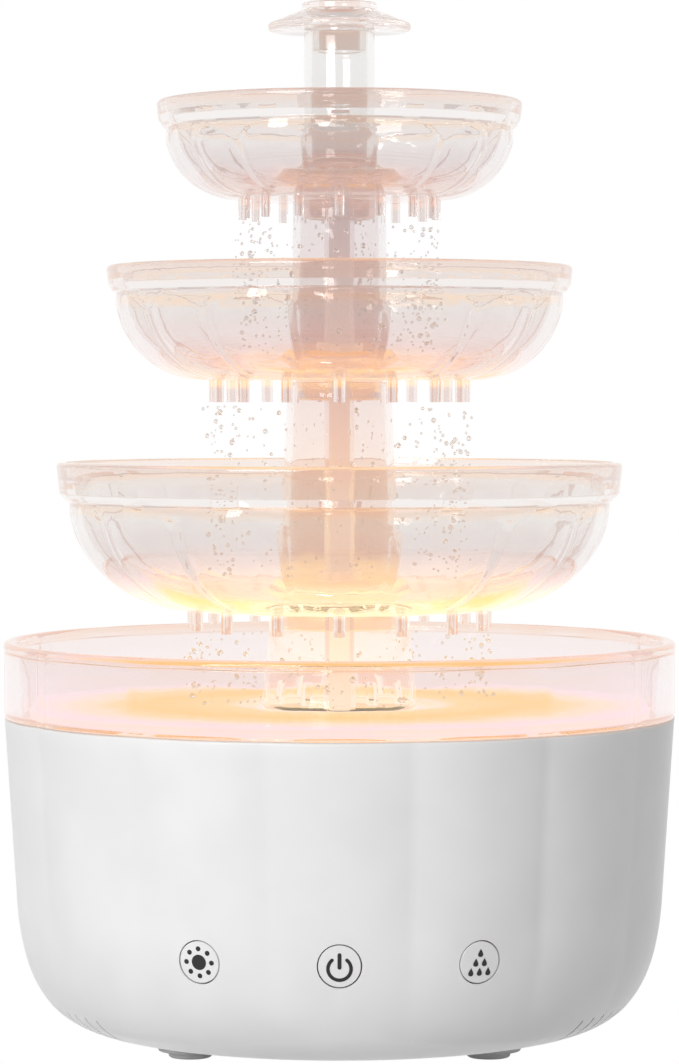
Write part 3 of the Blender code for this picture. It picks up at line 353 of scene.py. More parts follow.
def apply_boolean(obj, tool, operation):
    """Join a closed mesh to a piece or cut it away, and remove the tool."""
    modifier = obj.modifiers.new(operation, "BOOLEAN")
    modifier.operation = operation
    modifier.solver = "EXACT"
    modifier.object = tool
    bpy.context.view_layer.update()
    graph = bpy.context.evaluated_depsgraph_get()
    mesh = bpy.data.meshes.new_from_object(obj.evaluated_get(graph))
    obj.modifiers.clear()
    old = obj.data
    obj.data = mesh
    bpy.data.meshes.remove(old)
    bpy.data.objects.remove(tool, do_unlink=True)
    shade(mesh)


def turned_to(obj, matrix):
    """Move a piece's points by a matrix, and leave the object at the origin."""
    obj.data.transform(matrix)
    if matrix.determinant() < 0:
        obj.data.flip_normals()


def finish_piece(obj, material, body, slot, *stands_for):
    """Give a piece its material, its body and the nodes it replaces. The finish slot is not used.
    """
    obj.data.materials.clear()
    obj.data.materials.append(material)
    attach(obj, body)
    if stands_for:
        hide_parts(*stands_for)
    return obj


# --- materials ---
# White ABS, moulded with a fine satin grain: even, soft highlights
WHITE_ABS = moulded("white_abs_satin_moulded", "#f4f4f4", "#efefef", 0.36, 0.35, 0.05)
# Grey-white rubber feet, moulded: dull, no clear highlight
RUBBER = moulded("soft_rubber_moulded", "#dcdcdc", "#d2d2d2", 0.72, 0.5, 0.12, 1.52)
# Black glass-filled nylon, moulded satin: pump, jack and switches
BLACK = moulded("black_nylon_moulded", "#1b1c1e", "#141517", 0.45, 0.4, 0.10)
# Black screen-printing ink: flat and even
INK = moulded("black_printing_ink", "#0d0d0d", "#090909", 0.5, 0.3, 0.02)
# Clear silicone seals, moulded: frosted, and let the light through; their warm colour and glow by
# height are painted light
SILICONE = clear("clear_silicone_moulded", 0.079, 0.245, [(0.0, "#fdf6ee"), (1.0, "#f8f2f0")],
                 [(0.0, "#3a2c18"), (1.0, "#0a0605")],
                 [(0.0, "#ffeccc"), (1.0, "#ecdcd6")], 0.0, 1.41, 0.3)


def circuit_board():
    """Glass-epoxy circuit board under green solder mask, with fine copper tracks."""
    made, tree, output = new_material("green_solder_mask_board")
    point, _ = object_point(tree)
    tracks = add(tree, "ShaderNodeTexVoronoi", {"Vector": point, "Scale": 260.0},
                 feature="DISTANCE_TO_EDGE")
    tone = ramp(tree, tracks.outputs[0], [(0.04, "#2f7a4a"), (0.09, "#124a2a")])
    principled(tree, output, {"Base Color": tone, "Roughness": 0.32})
    return made


def zinc_steel():
    """Zinc-plated steel: bluish bright metal with a faint turned grain."""
    made, tree, output = new_material("zinc_plated_steel_turned")
    point, _ = object_point(tree)
    principled(tree, output, {
        "Base Color": linear("#c9ccd2"), "Metallic": 1.0,
        "Roughness": mapped(tree, noise(tree, point, 2500.0), 0.2, 0.4)})
    return made


def ceramic():
    """Ground white ceramic: the pump's shaft."""
    return moulded("alumina_ceramic_ground", "#efece4", "#e6e2d8", 0.25, 0.2, 0.02, 1.76)


def opal_plate():
    """Opal diffuser lit from behind: warm rings of light, brightest over the lights."""
    made, tree, output = new_material("opal_acrylic_backlit")
    _, parts = object_point(tree)
    radius = mapped(tree, axis_distance(tree, parts), 0.0, 1.0, 20 * MM, 75 * MM)
    light = ramp(tree, radius,
                 [(0.0, "#fff0d6"), (0.22, "#fff0d0"), (0.45, "#ffe6de"), (0.62, "#fff0c8"),
                  (0.80, "#ffecc0"), (1.0, "#fdf0e0")])
    principled(tree, output, {"Base Color": light, "Roughness": 0.5, "Emission Color": light,
                              "Emission Strength": 0.8})
    return made


def led_package():
    """The lights' silicone domes, shining warm white."""
    made, tree, output = new_material("warm_led_package")
    point, _ = object_point(tree)
    tone = ramp(tree, noise(tree, point, 900.0), [(0.3, "#ffe2a0"), (0.7, "#fff0c8")])
    principled(tree, output, {"Base Color": tone, "Roughness": 0.3, "Emission Color": tone,
                              "Emission Strength": 6.0})
    return made


def bowl_plastic(name, node, warmth):
    """Clear acrylic of one bowl, its colours painted light: cool and colourless at the rim, a
    painted gold highlight line where the step gathers the light, painted rose light in the body,
    a painted gold glow at the floor, pale at the nozzles."""
    _, low, high = span(node)
    # Painted light, one colour for each bowl: the plastic's tints, its glow and its haze by
    # height.
    gold = ("#f9eee9", "#fff4e6", "#fffaf0")[warmth]
    rose = ("#f5ebea", "#f9ebe9", "#f9ece8")[warmth]
    side = ("#f1eceb", "#f6eeec", "#f1ebe9")[warmth]
    band = ("#f4f1f0", "#f3efed", "#f4f1ef")[warmth]
    tip = ("#f2ecea", "#f6edea", "#fbefe7")[warmth]
    painted_shine = ("#0c0503", "#332412", "#5c5040")[warmth]
    painted_haze_floor = ("#e8ccc2", "#ffdfb8", "#ffedc4")[warmth]
    painted_haze_side = ("#d8c8c4", "#e6cec8", "#e2cbc4")[warmth]
    return clear(name, low, high,
                 [(0.0, tip), (0.09, tip), (0.13, gold), (0.27, rose), (0.45, side),
                  (0.68, band), (0.74, "#fbede0"), (0.80, band), (1.0, "#f8ece5")],
                 [(0.0, "#040201"), (0.09, "#040201"), (0.13, painted_shine), (0.18, painted_shine),
                  (0.38, "#020000"), (1.0, "#000000")],
                 [(0.0, painted_haze_side), (0.09, painted_haze_side), (0.14, painted_haze_floor), (0.22, painted_haze_floor),
                  (0.36, painted_haze_side), (0.7, "#e2d2cd"), (1.0, "#eed2c4")])


LARGE_ACRYLIC = bowl_plastic("clear_acrylic_large_bowl", "large_bowl", 2)
MIDDLE_ACRYLIC = bowl_plastic("clear_acrylic_middle_bowl", "middle_bowl", 1)
SMALL_ACRYLIC = bowl_plastic("clear_acrylic_small_bowl", "small_bowl", 0)
# The ramps of these clear materials are painted light by height: a warm tint, a painted glow low
# down (black, so none, on the falling water) and a painted haze.
COLUMN_ACRYLIC = clear("clear_acrylic_columns", 0.079, 0.245,
                       [(0.0, "#fffdfa"), (0.25, "#fdf6f0"), (0.5, "#f6eeec"),
                        (0.8, "#f1eded"), (1.0, "#f4f2f2")],
                       [(0.0, "#38322a"), (0.3, "#281d10"), (0.6, "#080504"), (1.0, "#000000")],
                       [(0.0, "#fff6e8"), (0.25, "#ffeacf"), (0.5, "#efd6cb"),
                        (0.75, "#dccbc8"), (1.0, "#dcd4d2")])
PIPE_ACRYLIC = clear("clear_acrylic_riser_pipe", 0.070, 0.210,
                     [(0.0, "#fffaf4"), (0.5, "#faf4f2"), (1.0, "#f6f2f2")],
                     [(0.0, "#2a1f12"), (1.0, "#040202")],
                     [(0.0, "#fff0da"), (0.5, "#f2dccf"), (1.0, "#dccdca")])
BASIN_ACRYLIC = clear("clear_acrylic_basin", 0.0729, 0.0972,
                      [(0.0, "#fff2d6"), (0.22, "#fff4e4"), (0.32, "#fbefee"),
                       (0.6, "#f9f1f1"), (0.85, "#f8efed"), (1.0, "#f8ddcc")],
                      [(0.0, "#2c1f08"), (0.25, "#1c1206"), (0.35, "#000000"), (1.0, "#000000")],
                      [(0.0, "#ffe0aa"), (0.25, "#fdd8c6"), (0.5, "#ecd3d0"),
                       (0.85, "#e8cdc6"), (1.0, "#f2c8ae")], 0.06)
CAP_ACRYLIC = clear("clear_acrylic_spout", 0.207, 0.2525,
                    [(0.0, "#f6eeeb"), (0.35, "#f3f1f0"), (0.7, "#f5f4f3"), (1.0, "#faf2ee")],
                    [(0.0, "#0c0703"), (0.4, "#000000"), (1.0, "#000000")],
                    [(0.0, "#d8cac5"), (0.4, "#d4cecc"), (0.8, "#e2cfc6"), (1.0, "#eccfbf")])
WATER = clear("falling_water", 0.079, 0.2525, [(0.0, "#efe8e2"), (1.0, "#e2e0e0")],
              [(0.0, "#000000"), (1.0, "#000000")],
              [(0.0, "#d8c8b8"), (1.0, "#b8b2b0")], 0.0, 1.333, 0.0)


PAINTED_GLOW_SHARE = 0.72


def lit_water():
    """Shallow water over the lit floor, with the light painted on as a glow: gold in a ring,
    cream and then rose outward, with soft ripples and a bright line where it meets the wall."""
    made, tree, output = new_material("basin_water_lit_from_below")
    point, parts = object_point(tree)
    wave = noise(tree, point, 55.0, 2.0, 0.6)
    swell = maths(tree, "MULTIPLY_ADD", wave, 8 * MM, -4 * MM)
    radius = maths(tree, "ADD", axis_distance(tree, parts), swell)
    light = ramp(tree, mapped(tree, radius, 0.0, 1.0, 20 * MM, 80 * MM),
                 [(0.08, "#fff0d8"), (0.17, "#ffdf9e"), (0.42, "#ffd68a"), (0.58, "#ffe0a6"),
                  (0.72, "#fdeacf"), (0.84, "#fdeae8"), (0.92, "#fce8f0"), (1.0, "#fdeeea")])
    surface = add(tree, "ShaderNodeBsdfPrincipled",
                  {"Base Color": linear("#fdf6ee"), "Roughness": 0.03, "IOR": 1.333,
                   "Transmission Weight": 1.0, "Normal": bump(tree, wave, 0.25, RIPPLE_DEPTH)})
    # Painted light: the water gives off the floor's light as a glow of its own.
    painted_shine = add(tree, "ShaderNodeEmission", {"Color": light, "Strength": 1.1})
    mix = blended(tree, PAINTED_GLOW_SHARE, surface, painted_shine)
    tree.links.new(mix.outputs[0], output.inputs["Surface"])
    return made


# --- base shell ---
BASE_TOP_R = 82.3 * MM
BASE_TOP_Z = top_of("base_shell")
BASE_BOTTOM_Z = bottom_of("base_shell")
BASE_BOTTOM_R = 55.2 * MM
BASE_CORNER_Z = 35.7 * MM
BASE_TAPER = 0.065
BASE_CORNER_POWER = 2.45
BASE_WALL = 2.4 * MM
BASE_LOBE_DEPTH = 0.9 * MM
LEDGE_Z = BASE_BOTTOM_Z + 5.1 * MM
LEDGE_R = 46.5 * MM
SHELF_R = 71.0 * MM
SHELF_Z = 72.6 * MM
SHELL_COLUMNS = LOBES * 24


def wall_radius(z, inset=0.0):
    """The wall's crest radius at heights z: a leaning straight wall above a rounded
    corner, whose drop follows 1 - (1 - u**p)**(1/p) from the corner's top to the flat
    underside."""
    z = np.asarray(z, float)
    bottom = BASE_BOTTOM_Z if inset == 0.0 else LEDGE_Z
    straight = BASE_TOP_R - inset - BASE_TAPER * (BASE_TOP_Z - z)
    whole = BASE_TOP_R - inset - BASE_TAPER * (BASE_TOP_Z - bottom) - BASE_BOTTOM_R
    down = np.clip((BASE_CORNER_Z - z) / (BASE_CORNER_Z - bottom), 0, 1)
    return straight - whole * (1 - (1 - down ** BASE_CORNER_POWER) ** (1 / BASE_CORNER_POWER))


def shell_sink(radius, height, fall):
    """The base's creases: full depth on the wall, fading out down the corner."""
    fade = np.clip((height - BASE_BOTTOM_Z) / (BASE_CORNER_Z - BASE_BOTTOM_Z), 0, 1)
    return BASE_LOBE_DEPTH * fade * (radius > SHELF_R + 0.3 * MM) * fall


def surface_reach(across, z, azimuth):
    """Distance from the axis, along azimuth, of the base's surface at a side offset."""
    offset = np.arctan2(across, wall_radius(z))
    fall = lobe_fall(azimuth + offset)
    radius = wall_radius(z) - shell_sink(wall_radius(z), z, fall)
    return np.sqrt(radius ** 2 - across ** 2)


KEY_AZIMUTHS = {name: FRONT + LOBE_ANGLE * side
                for side, name in zip((-1, 0, 1), ("light_key", "power_key", "rain_key"))}
KEY_Z = (top_of("power_key") + bottom_of("power_key")) / 2
KEY_R = 4.85 * MM
KEY_HOLE_R = 5.15 * MM
VENTS_PER_SIDE = 19
VENT_PITCH = math.radians(4.1)
VENT_WIDTH = 0.7 * MM
VENT_INNER_R = 59.0 * MM
VENT_OUTER_R = 71.5 * MM
VENT_TOP_Z = 18.0 * MM
JACK_Z = (top_of("power_jack") + bottom_of("power_jack")) / 2
JACK_RECESS_R = 8.5 * MM
JACK_RECESS_Y = 77.0 * MM
JACK_HOLE_R = 5.5 * MM


def outward(radius, azimuth, height):
    """A matrix at a polar point whose Z points away from the axis."""
    return (Matrix.Rotation(azimuth, 4, "Z") @ Matrix.Translation((radius, 0, height))
            @ Matrix.Rotation(math.pi / 2, 4, "Y"))


def boxes(name, spots):
    """Closed boxes in one mesh: a spot is (matrix of the middle, size)."""
    corners = np.array([[x, y, z] for x in (-.5, .5) for y in (-.5, .5) for z in (-.5, .5)])
    sides = [(0, 1, 3, 2), (4, 6, 7, 5), (0, 4, 5, 1), (2, 3, 7, 6), (0, 2, 6, 4), (1, 5, 7, 3)]
    points, faces = [], []
    for i, (matrix, size) in enumerate(spots):
        m = np.array(matrix)
        points.append((corners * size) @ m[:3, :3].T + m[:3, 3])
        faces += [[8 * i + c for c in side] for side in sides]
    return to_mesh(name, np.vstack(points), faces)


def make_shell():
    """The white shell: lobed wall, rounded corner, inner wall and shelf, with the key
    holes, the jack's recess and the vent slots cut through it."""
    steps = np.linspace(0, math.pi / 2, 34)
    corner = BASE_CORNER_Z - (BASE_CORNER_Z - BASE_BOTTOM_Z) * np.sin(steps)
    inner_corner = LEDGE_Z + (BASE_CORNER_Z - LEDGE_Z) * np.sin(np.linspace(0, math.pi / 2, 12))
    edge = 0.5 * MM
    lip = [(BASE_TOP_R - edge * (1 - math.cos(t)), BASE_TOP_Z - edge * (1 - math.sin(t)))
           for t in np.linspace(math.pi / 2, 0, 5)]
    wall = np.linspace(BASE_TOP_Z - edge, BASE_CORNER_Z, 14)[1:-1]
    outer = [*lip, *zip(wall_radius(wall), wall), *zip(wall_radius(corner), corner)]
    inner = [(BASE_BOTTOM_R, LEDGE_Z - BASE_WALL), (LEDGE_R, LEDGE_Z - BASE_WALL),
             (LEDGE_R, LEDGE_Z), *zip(wall_radius(inner_corner, BASE_WALL), inner_corner)]
    under = SHELF_Z - 2 * BASE_WALL
    inner += [(float(wall_radius(under, BASE_WALL)), under), (SHELF_R, SHELF_Z - BASE_WALL),
              (SHELF_R, SHELF_Z), (float(wall_radius(SHELF_Z, BASE_WALL)), SHELF_Z),
              (BASE_TOP_R - BASE_WALL, BASE_TOP_Z)]
    shell = turned("base_shell_surface", outer + inner, SHELL_COLUMNS, shell_sink)
    for name, azimuth in KEY_AZIMUTHS.items():
        hole = tubes(name + "_hole", [(0, 0, -12 * MM, 6 * MM)], (KEY_HOLE_R, KEY_HOLE_R), 72)
        turned_to(hole, outward(float(wall_radius(KEY_Z)), azimuth, KEY_Z))
        apply_boolean(shell, hole, "DIFFERENCE")
    back = Matrix.Translation((0, JACK_RECESS_Y, JACK_Z)) @ Matrix.Rotation(-math.pi / 2, 4, "X")
    for low, radius in ((0.0, JACK_RECESS_R), (-12 * MM, JACK_HOLE_R)):
        hole = tubes("jack_hole", [(0, 0, low, 12 * MM)], (radius, radius), 64)
        turned_to(hole, back)
        apply_boolean(shell, hole, "DIFFERENCE")
    middle = (VENT_INNER_R + VENT_OUTER_R) / 2
    size = (VENT_OUTER_R - VENT_INNER_R, VENT_WIDTH, VENT_TOP_Z + BASE_BOTTOM_Z)
    slots = [(Matrix.Rotation(side + VENT_PITCH * (i - (VENTS_PER_SIDE - 1) / 2), 4, "Z")
              @ Matrix.Translation((middle, 0, VENT_TOP_Z - size[2] / 2)), size)
             for side in (0.0, math.pi) for i in range(VENTS_PER_SIDE)]
    apply_boolean(shell, boxes("vent_slots", slots), "DIFFERENCE")
    finish_piece(shell, WHITE_ABS, "base", "white_abs", "base_shell")


KEY_BEVEL = 0.12 * MM
KEY_DEPTH = 5.0 * MM
KEY_FLANGE_R = 6.2 * MM
KEY_STEM_R = 1.5 * MM
KEY_INSET = 0.05 * MM


def make_keys():
    """Three push keys, their faces flush with the lobe that they sit in."""
    flange_back = -KEY_DEPTH - 1.0 * MM
    stem_end = -KEY_DEPTH - 2.4 * MM
    profile = [(0.0, 0.0)]
    profile += [(KEY_R * i / 8 - KEY_BEVEL * (i == 8), 0.0) for i in range(1, 9)]
    profile += [(KEY_R, -KEY_BEVEL), (KEY_R, -KEY_DEPTH), (KEY_FLANGE_R, -KEY_DEPTH),
                (KEY_FLANGE_R, flange_back), (KEY_STEM_R, flange_back),
                (KEY_STEM_R, stem_end), (0.0, stem_end)]
    for name, azimuth in KEY_AZIMUTHS.items():
        key = turned(name + "_cap", profile, 72)
        points = np.empty(len(key.data.vertices) * 3)
        key.data.vertices.foreach_get("co", points)
        across, up, out = points.reshape(-1, 3).T.copy()
        reach = surface_reach(across, KEY_Z + up, azimuth) - KEY_INSET
        out = np.where(out > -KEY_DEPTH / 2, reach + out, float(wall_radius(KEY_Z)) + out)
        c, s = math.cos(azimuth), math.sin(azimuth)
        placed = np.stack([out * c - across * s, out * s + across * c, KEY_Z + up], 1)
        key.data.vertices.foreach_set("co", placed.ravel())
        key.data.update()
        finish_piece(key, WHITE_ABS, name, "white_abs", name)


def circle(x, y, radius, count=32):
    """A round outline."""
    t = 2 * math.pi * np.arange(count) / count
    return np.stack([x + radius * np.cos(t), y + radius * np.sin(t)], 1)


def power_arc(radius, stroke, gap):
    """An open ring of one stroke width with round ends, open for gap either side of up."""
    up = math.pi / 2
    half = stroke / 2
    t = np.linspace(up + gap, up + 2 * math.pi - gap, 48)
    cap = np.linspace(0, math.pi, 10)[1:-1]
    last, first = t[-1] + cap, t[0] + math.pi + cap
    return np.vstack([
        np.stack([np.cos(t), np.sin(t)], 1) * (radius + half),
        np.stack([radius * math.cos(t[-1]) + half * np.cos(last),
                  radius * math.sin(t[-1]) + half * np.sin(last)], 1),
        np.stack([np.cos(t[::-1]), np.sin(t[::-1])], 1) * (radius - half),
        np.stack([radius * math.cos(t[0]) + half * np.cos(first),
                  radius * math.sin(t[0]) + half * np.sin(first)], 1)])


def bar(low, high, stroke):
    """An upright bar with round ends."""
    half = stroke / 2
    t = np.linspace(0, math.pi, 12)
    top = np.stack([half * np.cos(t), high - half + half * np.sin(t)], 1)
    foot = np.stack([-half * np.cos(t), low + half - half * np.sin(t)], 1)
    return np.vstack([top, foot])


def drop_outline(x, y, width, height, count=28):
    """A falling drop: x = sin t * sin(t/2)**1.5, y = cos t, point up."""
    t = 2 * math.pi * np.arange(count) / count
    across = np.sin(t) * np.abs(np.sin(t / 2)) ** 1.5
    across *= width / 2 / across.max()
    return np.stack([x - across, y + height / 2 * np.cos(t)], 1)


INK_THICKNESS = 0.03 * MM


def print_icon(name, key, outlines):
    """Ink shapes on a key's face: each outline is a thin prism bent onto the surface."""
    azimuth = KEY_AZIMUTHS[key]
    points, faces, start = [], [], 0
    for shape in outlines:
        across, up = shape.T
        count = len(shape)
        reach = surface_reach(across, KEY_Z + up, azimuth)
        c, s = math.cos(azimuth), math.sin(azimuth)
        for level in (reach + INK_THICKNESS, reach - 3 * INK_THICKNESS):
            points.append(np.stack([level * c - across * s, level * s + across * c,
                                    KEY_Z + up], 1))
        i = np.arange(count)
        j = (i + 1) % count
        faces.append((start + i).tolist())
        faces.append((start + count + i)[::-1].tolist())
        faces += np.stack([start + i, start + count + i, start + count + j, start + j],
                          1).tolist()
        start += 2 * count
    finish_piece(to_mesh(name, np.vstack(points), faces), INK, key, "black_plastic")


def make_icons():
    """Sun, power sign and rain, printed on the keys."""
    ray = 3.15 * MM
    sun = [circle(0, 0, 1.78 * MM, 40)]
    sun += [circle(ray * math.cos(a), ray * math.sin(a), 0.58 * MM, 20)
            for a in np.arange(8) * math.pi / 4]
    print_icon("sun_icon", "light_key", sun)
    print_icon("power_icon", "power_key",
               [power_arc(2.62 * MM, 0.8 * MM, math.radians(40)) + (0, -0.55 * MM),
                bar(-0.7 * MM, 3.1 * MM, 0.9 * MM)])
    pitch_x, pitch_y = 2.15 * MM, 2.2 * MM
    rain = [drop_outline(pitch_x * (column - row / 2), pitch_y * (1 - row), 1.25 * MM, 1.9 * MM)
            for row in range(3) for column in range(row + 1)]
    print_icon("rain_icon", "rain_key", rain)


# --- underside ---
def make_underside():
    """Bottom cover with its screw recesses, and the rubber feet."""
    top = LEDGE_Z - BASE_WALL - 0.3 * MM
    edge = 0.3 * MM
    plate = outline([(0.0, top, 0), (BASE_BOTTOM_R - edge, top, edge),
                     (BASE_BOTTOM_R - edge, BASE_BOTTOM_Z, edge), (0.0, BASE_BOTTOM_Z, 0)])
    cover = turned("bottom_cover_plate", plate, 180)
    posts = [(x, y, top - 0.5 * MM, bottom_of("led_board") - 0.3 * MM)
             for x, y in ring_of(4, 40 * MM, FRONT + math.pi / 4)]
    apply_boolean(cover, tubes("posts", posts, (3.7 * MM, 3.5 * MM), 40), "UNION")
    holes = [(x, y, BASE_BOTTOM_Z - 1 * MM, BASE_BOTTOM_Z + 1.8 * MM)
             for x, y in ring_of(4, 50.5 * MM, FRONT)]
    apply_boolean(cover, tubes("screw_recesses", holes, (3.1 * MM, 3.0 * MM), 40), "DIFFERENCE")
    finish_piece(cover, WHITE_ABS, "base", "white_abs", "bottom_cover")
    for end in ("front", "back"):
        for side in ("left", "right"):
            make_foot(f"foot_{end}_{side}")


def ring_of(count, radius, start):
    """Points evenly round a circle."""
    return [(radius * math.cos(start + 2 * math.pi * i / count),
             radius * math.sin(start + 2 * math.pi * i / count)) for i in range(count)]


def make_foot(node):
    """A rubber foot: round flange with a softly rounded pad under it."""
    low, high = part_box(node)
    centre = ((low[0] + high[0]) / 2, (low[1] + high[1]) / 2)
    top = high[2]
    flange, pad = 7.65 * MM, 5.2 * MM
    step = top - 1.3 * MM
    soft = 0.35 * MM
    profile = outline([(0.0, top, 0), (flange, top, 0.1 * MM), (flange, step, soft),
                       (pad, step, soft), (pad, 0.0, 2 * soft), (0.0, 0.0, 0)])
    foot = turned(node + "_rubber", profile, 64, centre=centre)
    finish_piece(foot, RUBBER, "base", "grey_rubber", node)


# --- basin and diffuser ---
BASIN_R = 82.4 * MM
BASIN_TOP_Z = top_of("basin")
BASIN_WALL = 3.2 * MM
BASIN_FLOOR_Z = 79.0 * MM
SPIGOT_R = 78.2 * MM
SPIGOT_WALL = 3.6 * MM
WELL_R = 21.5 * MM
WELL_WALL = 2.5 * MM


def basin_sink(radius, height, fall):
    """The basin's outer wall repeats the base's lobes, fading out at the rim bead."""
    low, high = BASE_TOP_Z - 0.1 * MM, BASIN_TOP_Z
    on_wall = (radius > SPIGOT_R + 0.2 * MM) & (height > low)
    inner = 0.6 * (radius < BASIN_R - 1.2 * MM) + 1.0 * (radius >= BASIN_R - 1.2 * MM)
    return BASE_LOBE_DEPTH * on_wall * inner * fall * np.clip((high - height) / (3 * MM), 0.25, 1)


def make_basin():
    """The clear basin: lobed wall with a rounded rim, floor, skirt and pump well."""
    seat = BASE_TOP_Z + 0.3 * MM
    floor_low = BASIN_FLOOR_Z - 3.0 * MM
    skirt_low = bottom_of("basin_gasket") + 1.8 * MM
    well_low = bottom_of("basin")
    inner = BASIN_R - BASIN_WALL
    soft = 0.3 * MM
    rim = 1.45 * MM
    profile = outline([
        (0.0, well_low + WELL_WALL, 0), (WELL_R, well_low + WELL_WALL, 1 * MM),
        (WELL_R, BASIN_FLOOR_Z, 2 * soft), (inner, BASIN_FLOOR_Z, 1.6 * MM),
        (inner, BASIN_TOP_Z - 2.6 * MM, soft),
        (inner - 0.4 * MM, BASIN_TOP_Z - 2.2 * MM, soft), (inner - 0.4 * MM, BASIN_TOP_Z, rim),
        (BASIN_R, BASIN_TOP_Z, rim), (BASIN_R, seat, soft), (SPIGOT_R, seat, soft),
        (SPIGOT_R, skirt_low, soft), (SPIGOT_R - SPIGOT_WALL, skirt_low, soft),
        (SPIGOT_R - SPIGOT_WALL, floor_low, soft), (WELL_R + WELL_WALL, floor_low, soft),
        (WELL_R + WELL_WALL, well_low, 1 * MM), (0.0, well_low, 0)], 6)
    basin = turned("basin_clear", open_dense(profile, 2.5 * MM), LOBES * 20, basin_sink)
    finish_piece(basin, BASIN_ACRYLIC, "base", "clear_acrylic", "basin")


def open_dense(points, spacing):
    """An axis-to-axis profile with points added along its long stretches."""
    return np.vstack([dense(points, spacing)[:-max(1, int(
        np.linalg.norm(points[0] - points[-1]) / spacing))], points[-1:]])


def make_diffuser():
    """The opal plate under the basin's floor."""
    low, high = bottom_of("light_diffuser"), top_of("light_diffuser")
    soft = 0.3 * MM
    inner, outer = WELL_R + WELL_WALL + 0.3 * MM, SPIGOT_R - SPIGOT_WALL - 0.3 * MM
    plate = turned("light_diffuser_plate", dense(outline([
        (inner, high, soft), (outer, high, soft), (outer, low, soft), (inner, low, soft)]),
        6 * MM), 180)
    finish_piece(plate, opal_plate(), "base", "opal_diffuser", "light_diffuser")


# --- bowls ---
# A bowl in mm: radii of its band's foot, its side and its flat floor, heights of its step
# and its floor's underside, depth of its lobes, radii of its ring of nozzles and of one
# nozzle, of the column that stands in it (foot) and of the one that it plugs into (plug).
BOWL_WALL = 2.4 * MM
BOWLS = {
    "large_bowl": dict(
        band=66.9, step=131.4, side=66.5, flat=35.6, floor=104.7, lobe=1.5, ring=36.2,
        nozzle=1.45, foot=14.6, plug=14.9),
    "middle_bowl": dict(
        band=55.5, step=182.3, side=55.1, flat=32.7, floor=160.5, lobe=1.3, ring=30.8,
        nozzle=1.45, foot=11.8, plug=10.6),
    "small_bowl": dict(
        band=43.2, step=222.3, side=42.8, flat=24.5, floor=204.6, lobe=1.1, ring=23.7,
        nozzle=1.2, foot=12.7, plug=9.2),
}
BOWLS = {node: {part: size * MM for part, size in sizes.items()}
         for node, sizes in BOWLS.items()}
PIPE_BORE_R = 3.95 * MM
SOCKET_WALL = 3.3 * MM
SOCKET_HEIGHT = 3.5 * MM
PLUG_WALL = 1.8 * MM
PLUG_DEPTH = 4.8 * MM
PLUG_TAPER = 0.5 * MM
NOZZLE_BORE_R = 0.6 * MM
NOZZLE_TAPER = 0.94


def bowl_sink(bowl):
    """Lobes of a bowl: pillows that start in round arches under the step, deepest on
    the side and gone on the flat floor."""
    def sink(radius, height, fall):
        arch = bowl["step"] - 0.6 * MM - 2.6 * MM * fall
        under = np.clip((arch - height) / (1.8 * MM), 0, 1)
        rise = under * under * (3 - 2 * under)
        out = np.clip((radius - bowl["flat"] + 6 * MM) / (9 * MM), 0, 1)
        flat_wall = 0.55 * MM * (height < bowl["step"] - 0.4 * MM)
        below = height < bowl["step"]
        return below * out * (bowl["lobe"] * fall * rise + flat_wall * (1 - rise))
    return sink


def quarter(flat, side, bottom, top, count):
    """A quarter ellipse from the side, at the top, to the flat, at the bottom."""
    t = np.linspace(0, math.pi / 2, count)
    return np.stack([flat + (side - flat) * np.cos(t), top - (top - bottom) * np.sin(t)], 1)


def make_bowl(node, body, material):
    """A clear bowl: round bead and band, step, lobed body, floor with socket and plug,
    and a ring of nozzles, one under each lobe."""
    bowl = BOWLS[node]
    rim_r, tip, rim_z = span(node)
    floor, step = bowl["floor"], bowl["step"]
    top = floor + BOWL_WALL
    inside_side = bowl["side"] - BOWL_WALL
    foot, plug = bowl["foot"] + 0.3 * MM, bowl["plug"]
    bead = 1.15 * MM
    band = outline([
        (rim_r - 2 * bead, rim_z, bead * 0.95), (rim_r, rim_z, bead * 0.95),
        (rim_r - 0.35 * (rim_r - bowl["band"]), step + 1.7 * MM, 1.0 * MM),
        (bowl["band"], step, 0.4 * MM),
        (bowl["side"], step - 0.5 * MM, 0.0), (0.0, step, 0.0)], 6)[:-1]
    under = quarter(bowl["flat"], bowl["side"], floor, step - 0.8 * MM, 30)
    soft = 0.3 * MM
    lower = outline([
        (bowl["flat"] - 1 * MM, floor, 0), (plug, floor, soft),
        (plug - PLUG_TAPER, floor - PLUG_DEPTH, 2 * soft),
        (plug - PLUG_WALL, floor - PLUG_DEPTH, 0.8 * soft), (plug - PLUG_WALL, floor, soft),
        (PIPE_BORE_R, floor, soft), (PIPE_BORE_R, top, soft), (foot, top, soft),
        (foot, top + SOCKET_HEIGHT, soft), (foot + 0.9 * MM, top + SOCKET_HEIGHT, soft),
        (foot + SOCKET_WALL, top, 1.5 * MM), (bowl["flat"] - 1 * MM, top, 0)], 4)
    upper = quarter(bowl["flat"], inside_side, top, step - 0.8 * MM, 24)[::-1]
    lip = [(rim_r - 2.3 * bead, (rim_z + step) / 2)]
    profile = np.vstack([band, under[:-1], lower, upper[1:], lip])
    piece = turned(node + "_clear", dense(profile, 3 * MM), LOBES * 20, bowl_sink(bowl))
    ring = ring_of(LOBES, bowl["ring"], FRONT)
    spots = [(x, y, tip, floor + 0.5 * BOWL_WALL) for x, y in ring]
    radii = (bowl["nozzle"] * NOZZLE_TAPER, bowl["nozzle"])
    apply_boolean(piece, tubes("nozzles", spots, radii, 20, NOZZLE_BORE_R), "UNION")
    spots = [(x, y, floor, top + 1 * MM) for x, y in ring]
    bores = tubes("bores", spots, (NOZZLE_BORE_R, NOZZLE_BORE_R), 20)
    apply_boolean(piece, bores, "DIFFERENCE")
    finish_piece(piece, material, body, "clear_acrylic", node)


# --- columns, pipes, spout ---
COLUMN_WALL = 1.8 * MM
PIPE_R = 3.65 * MM
PIPE_WALL = 1.05 * MM


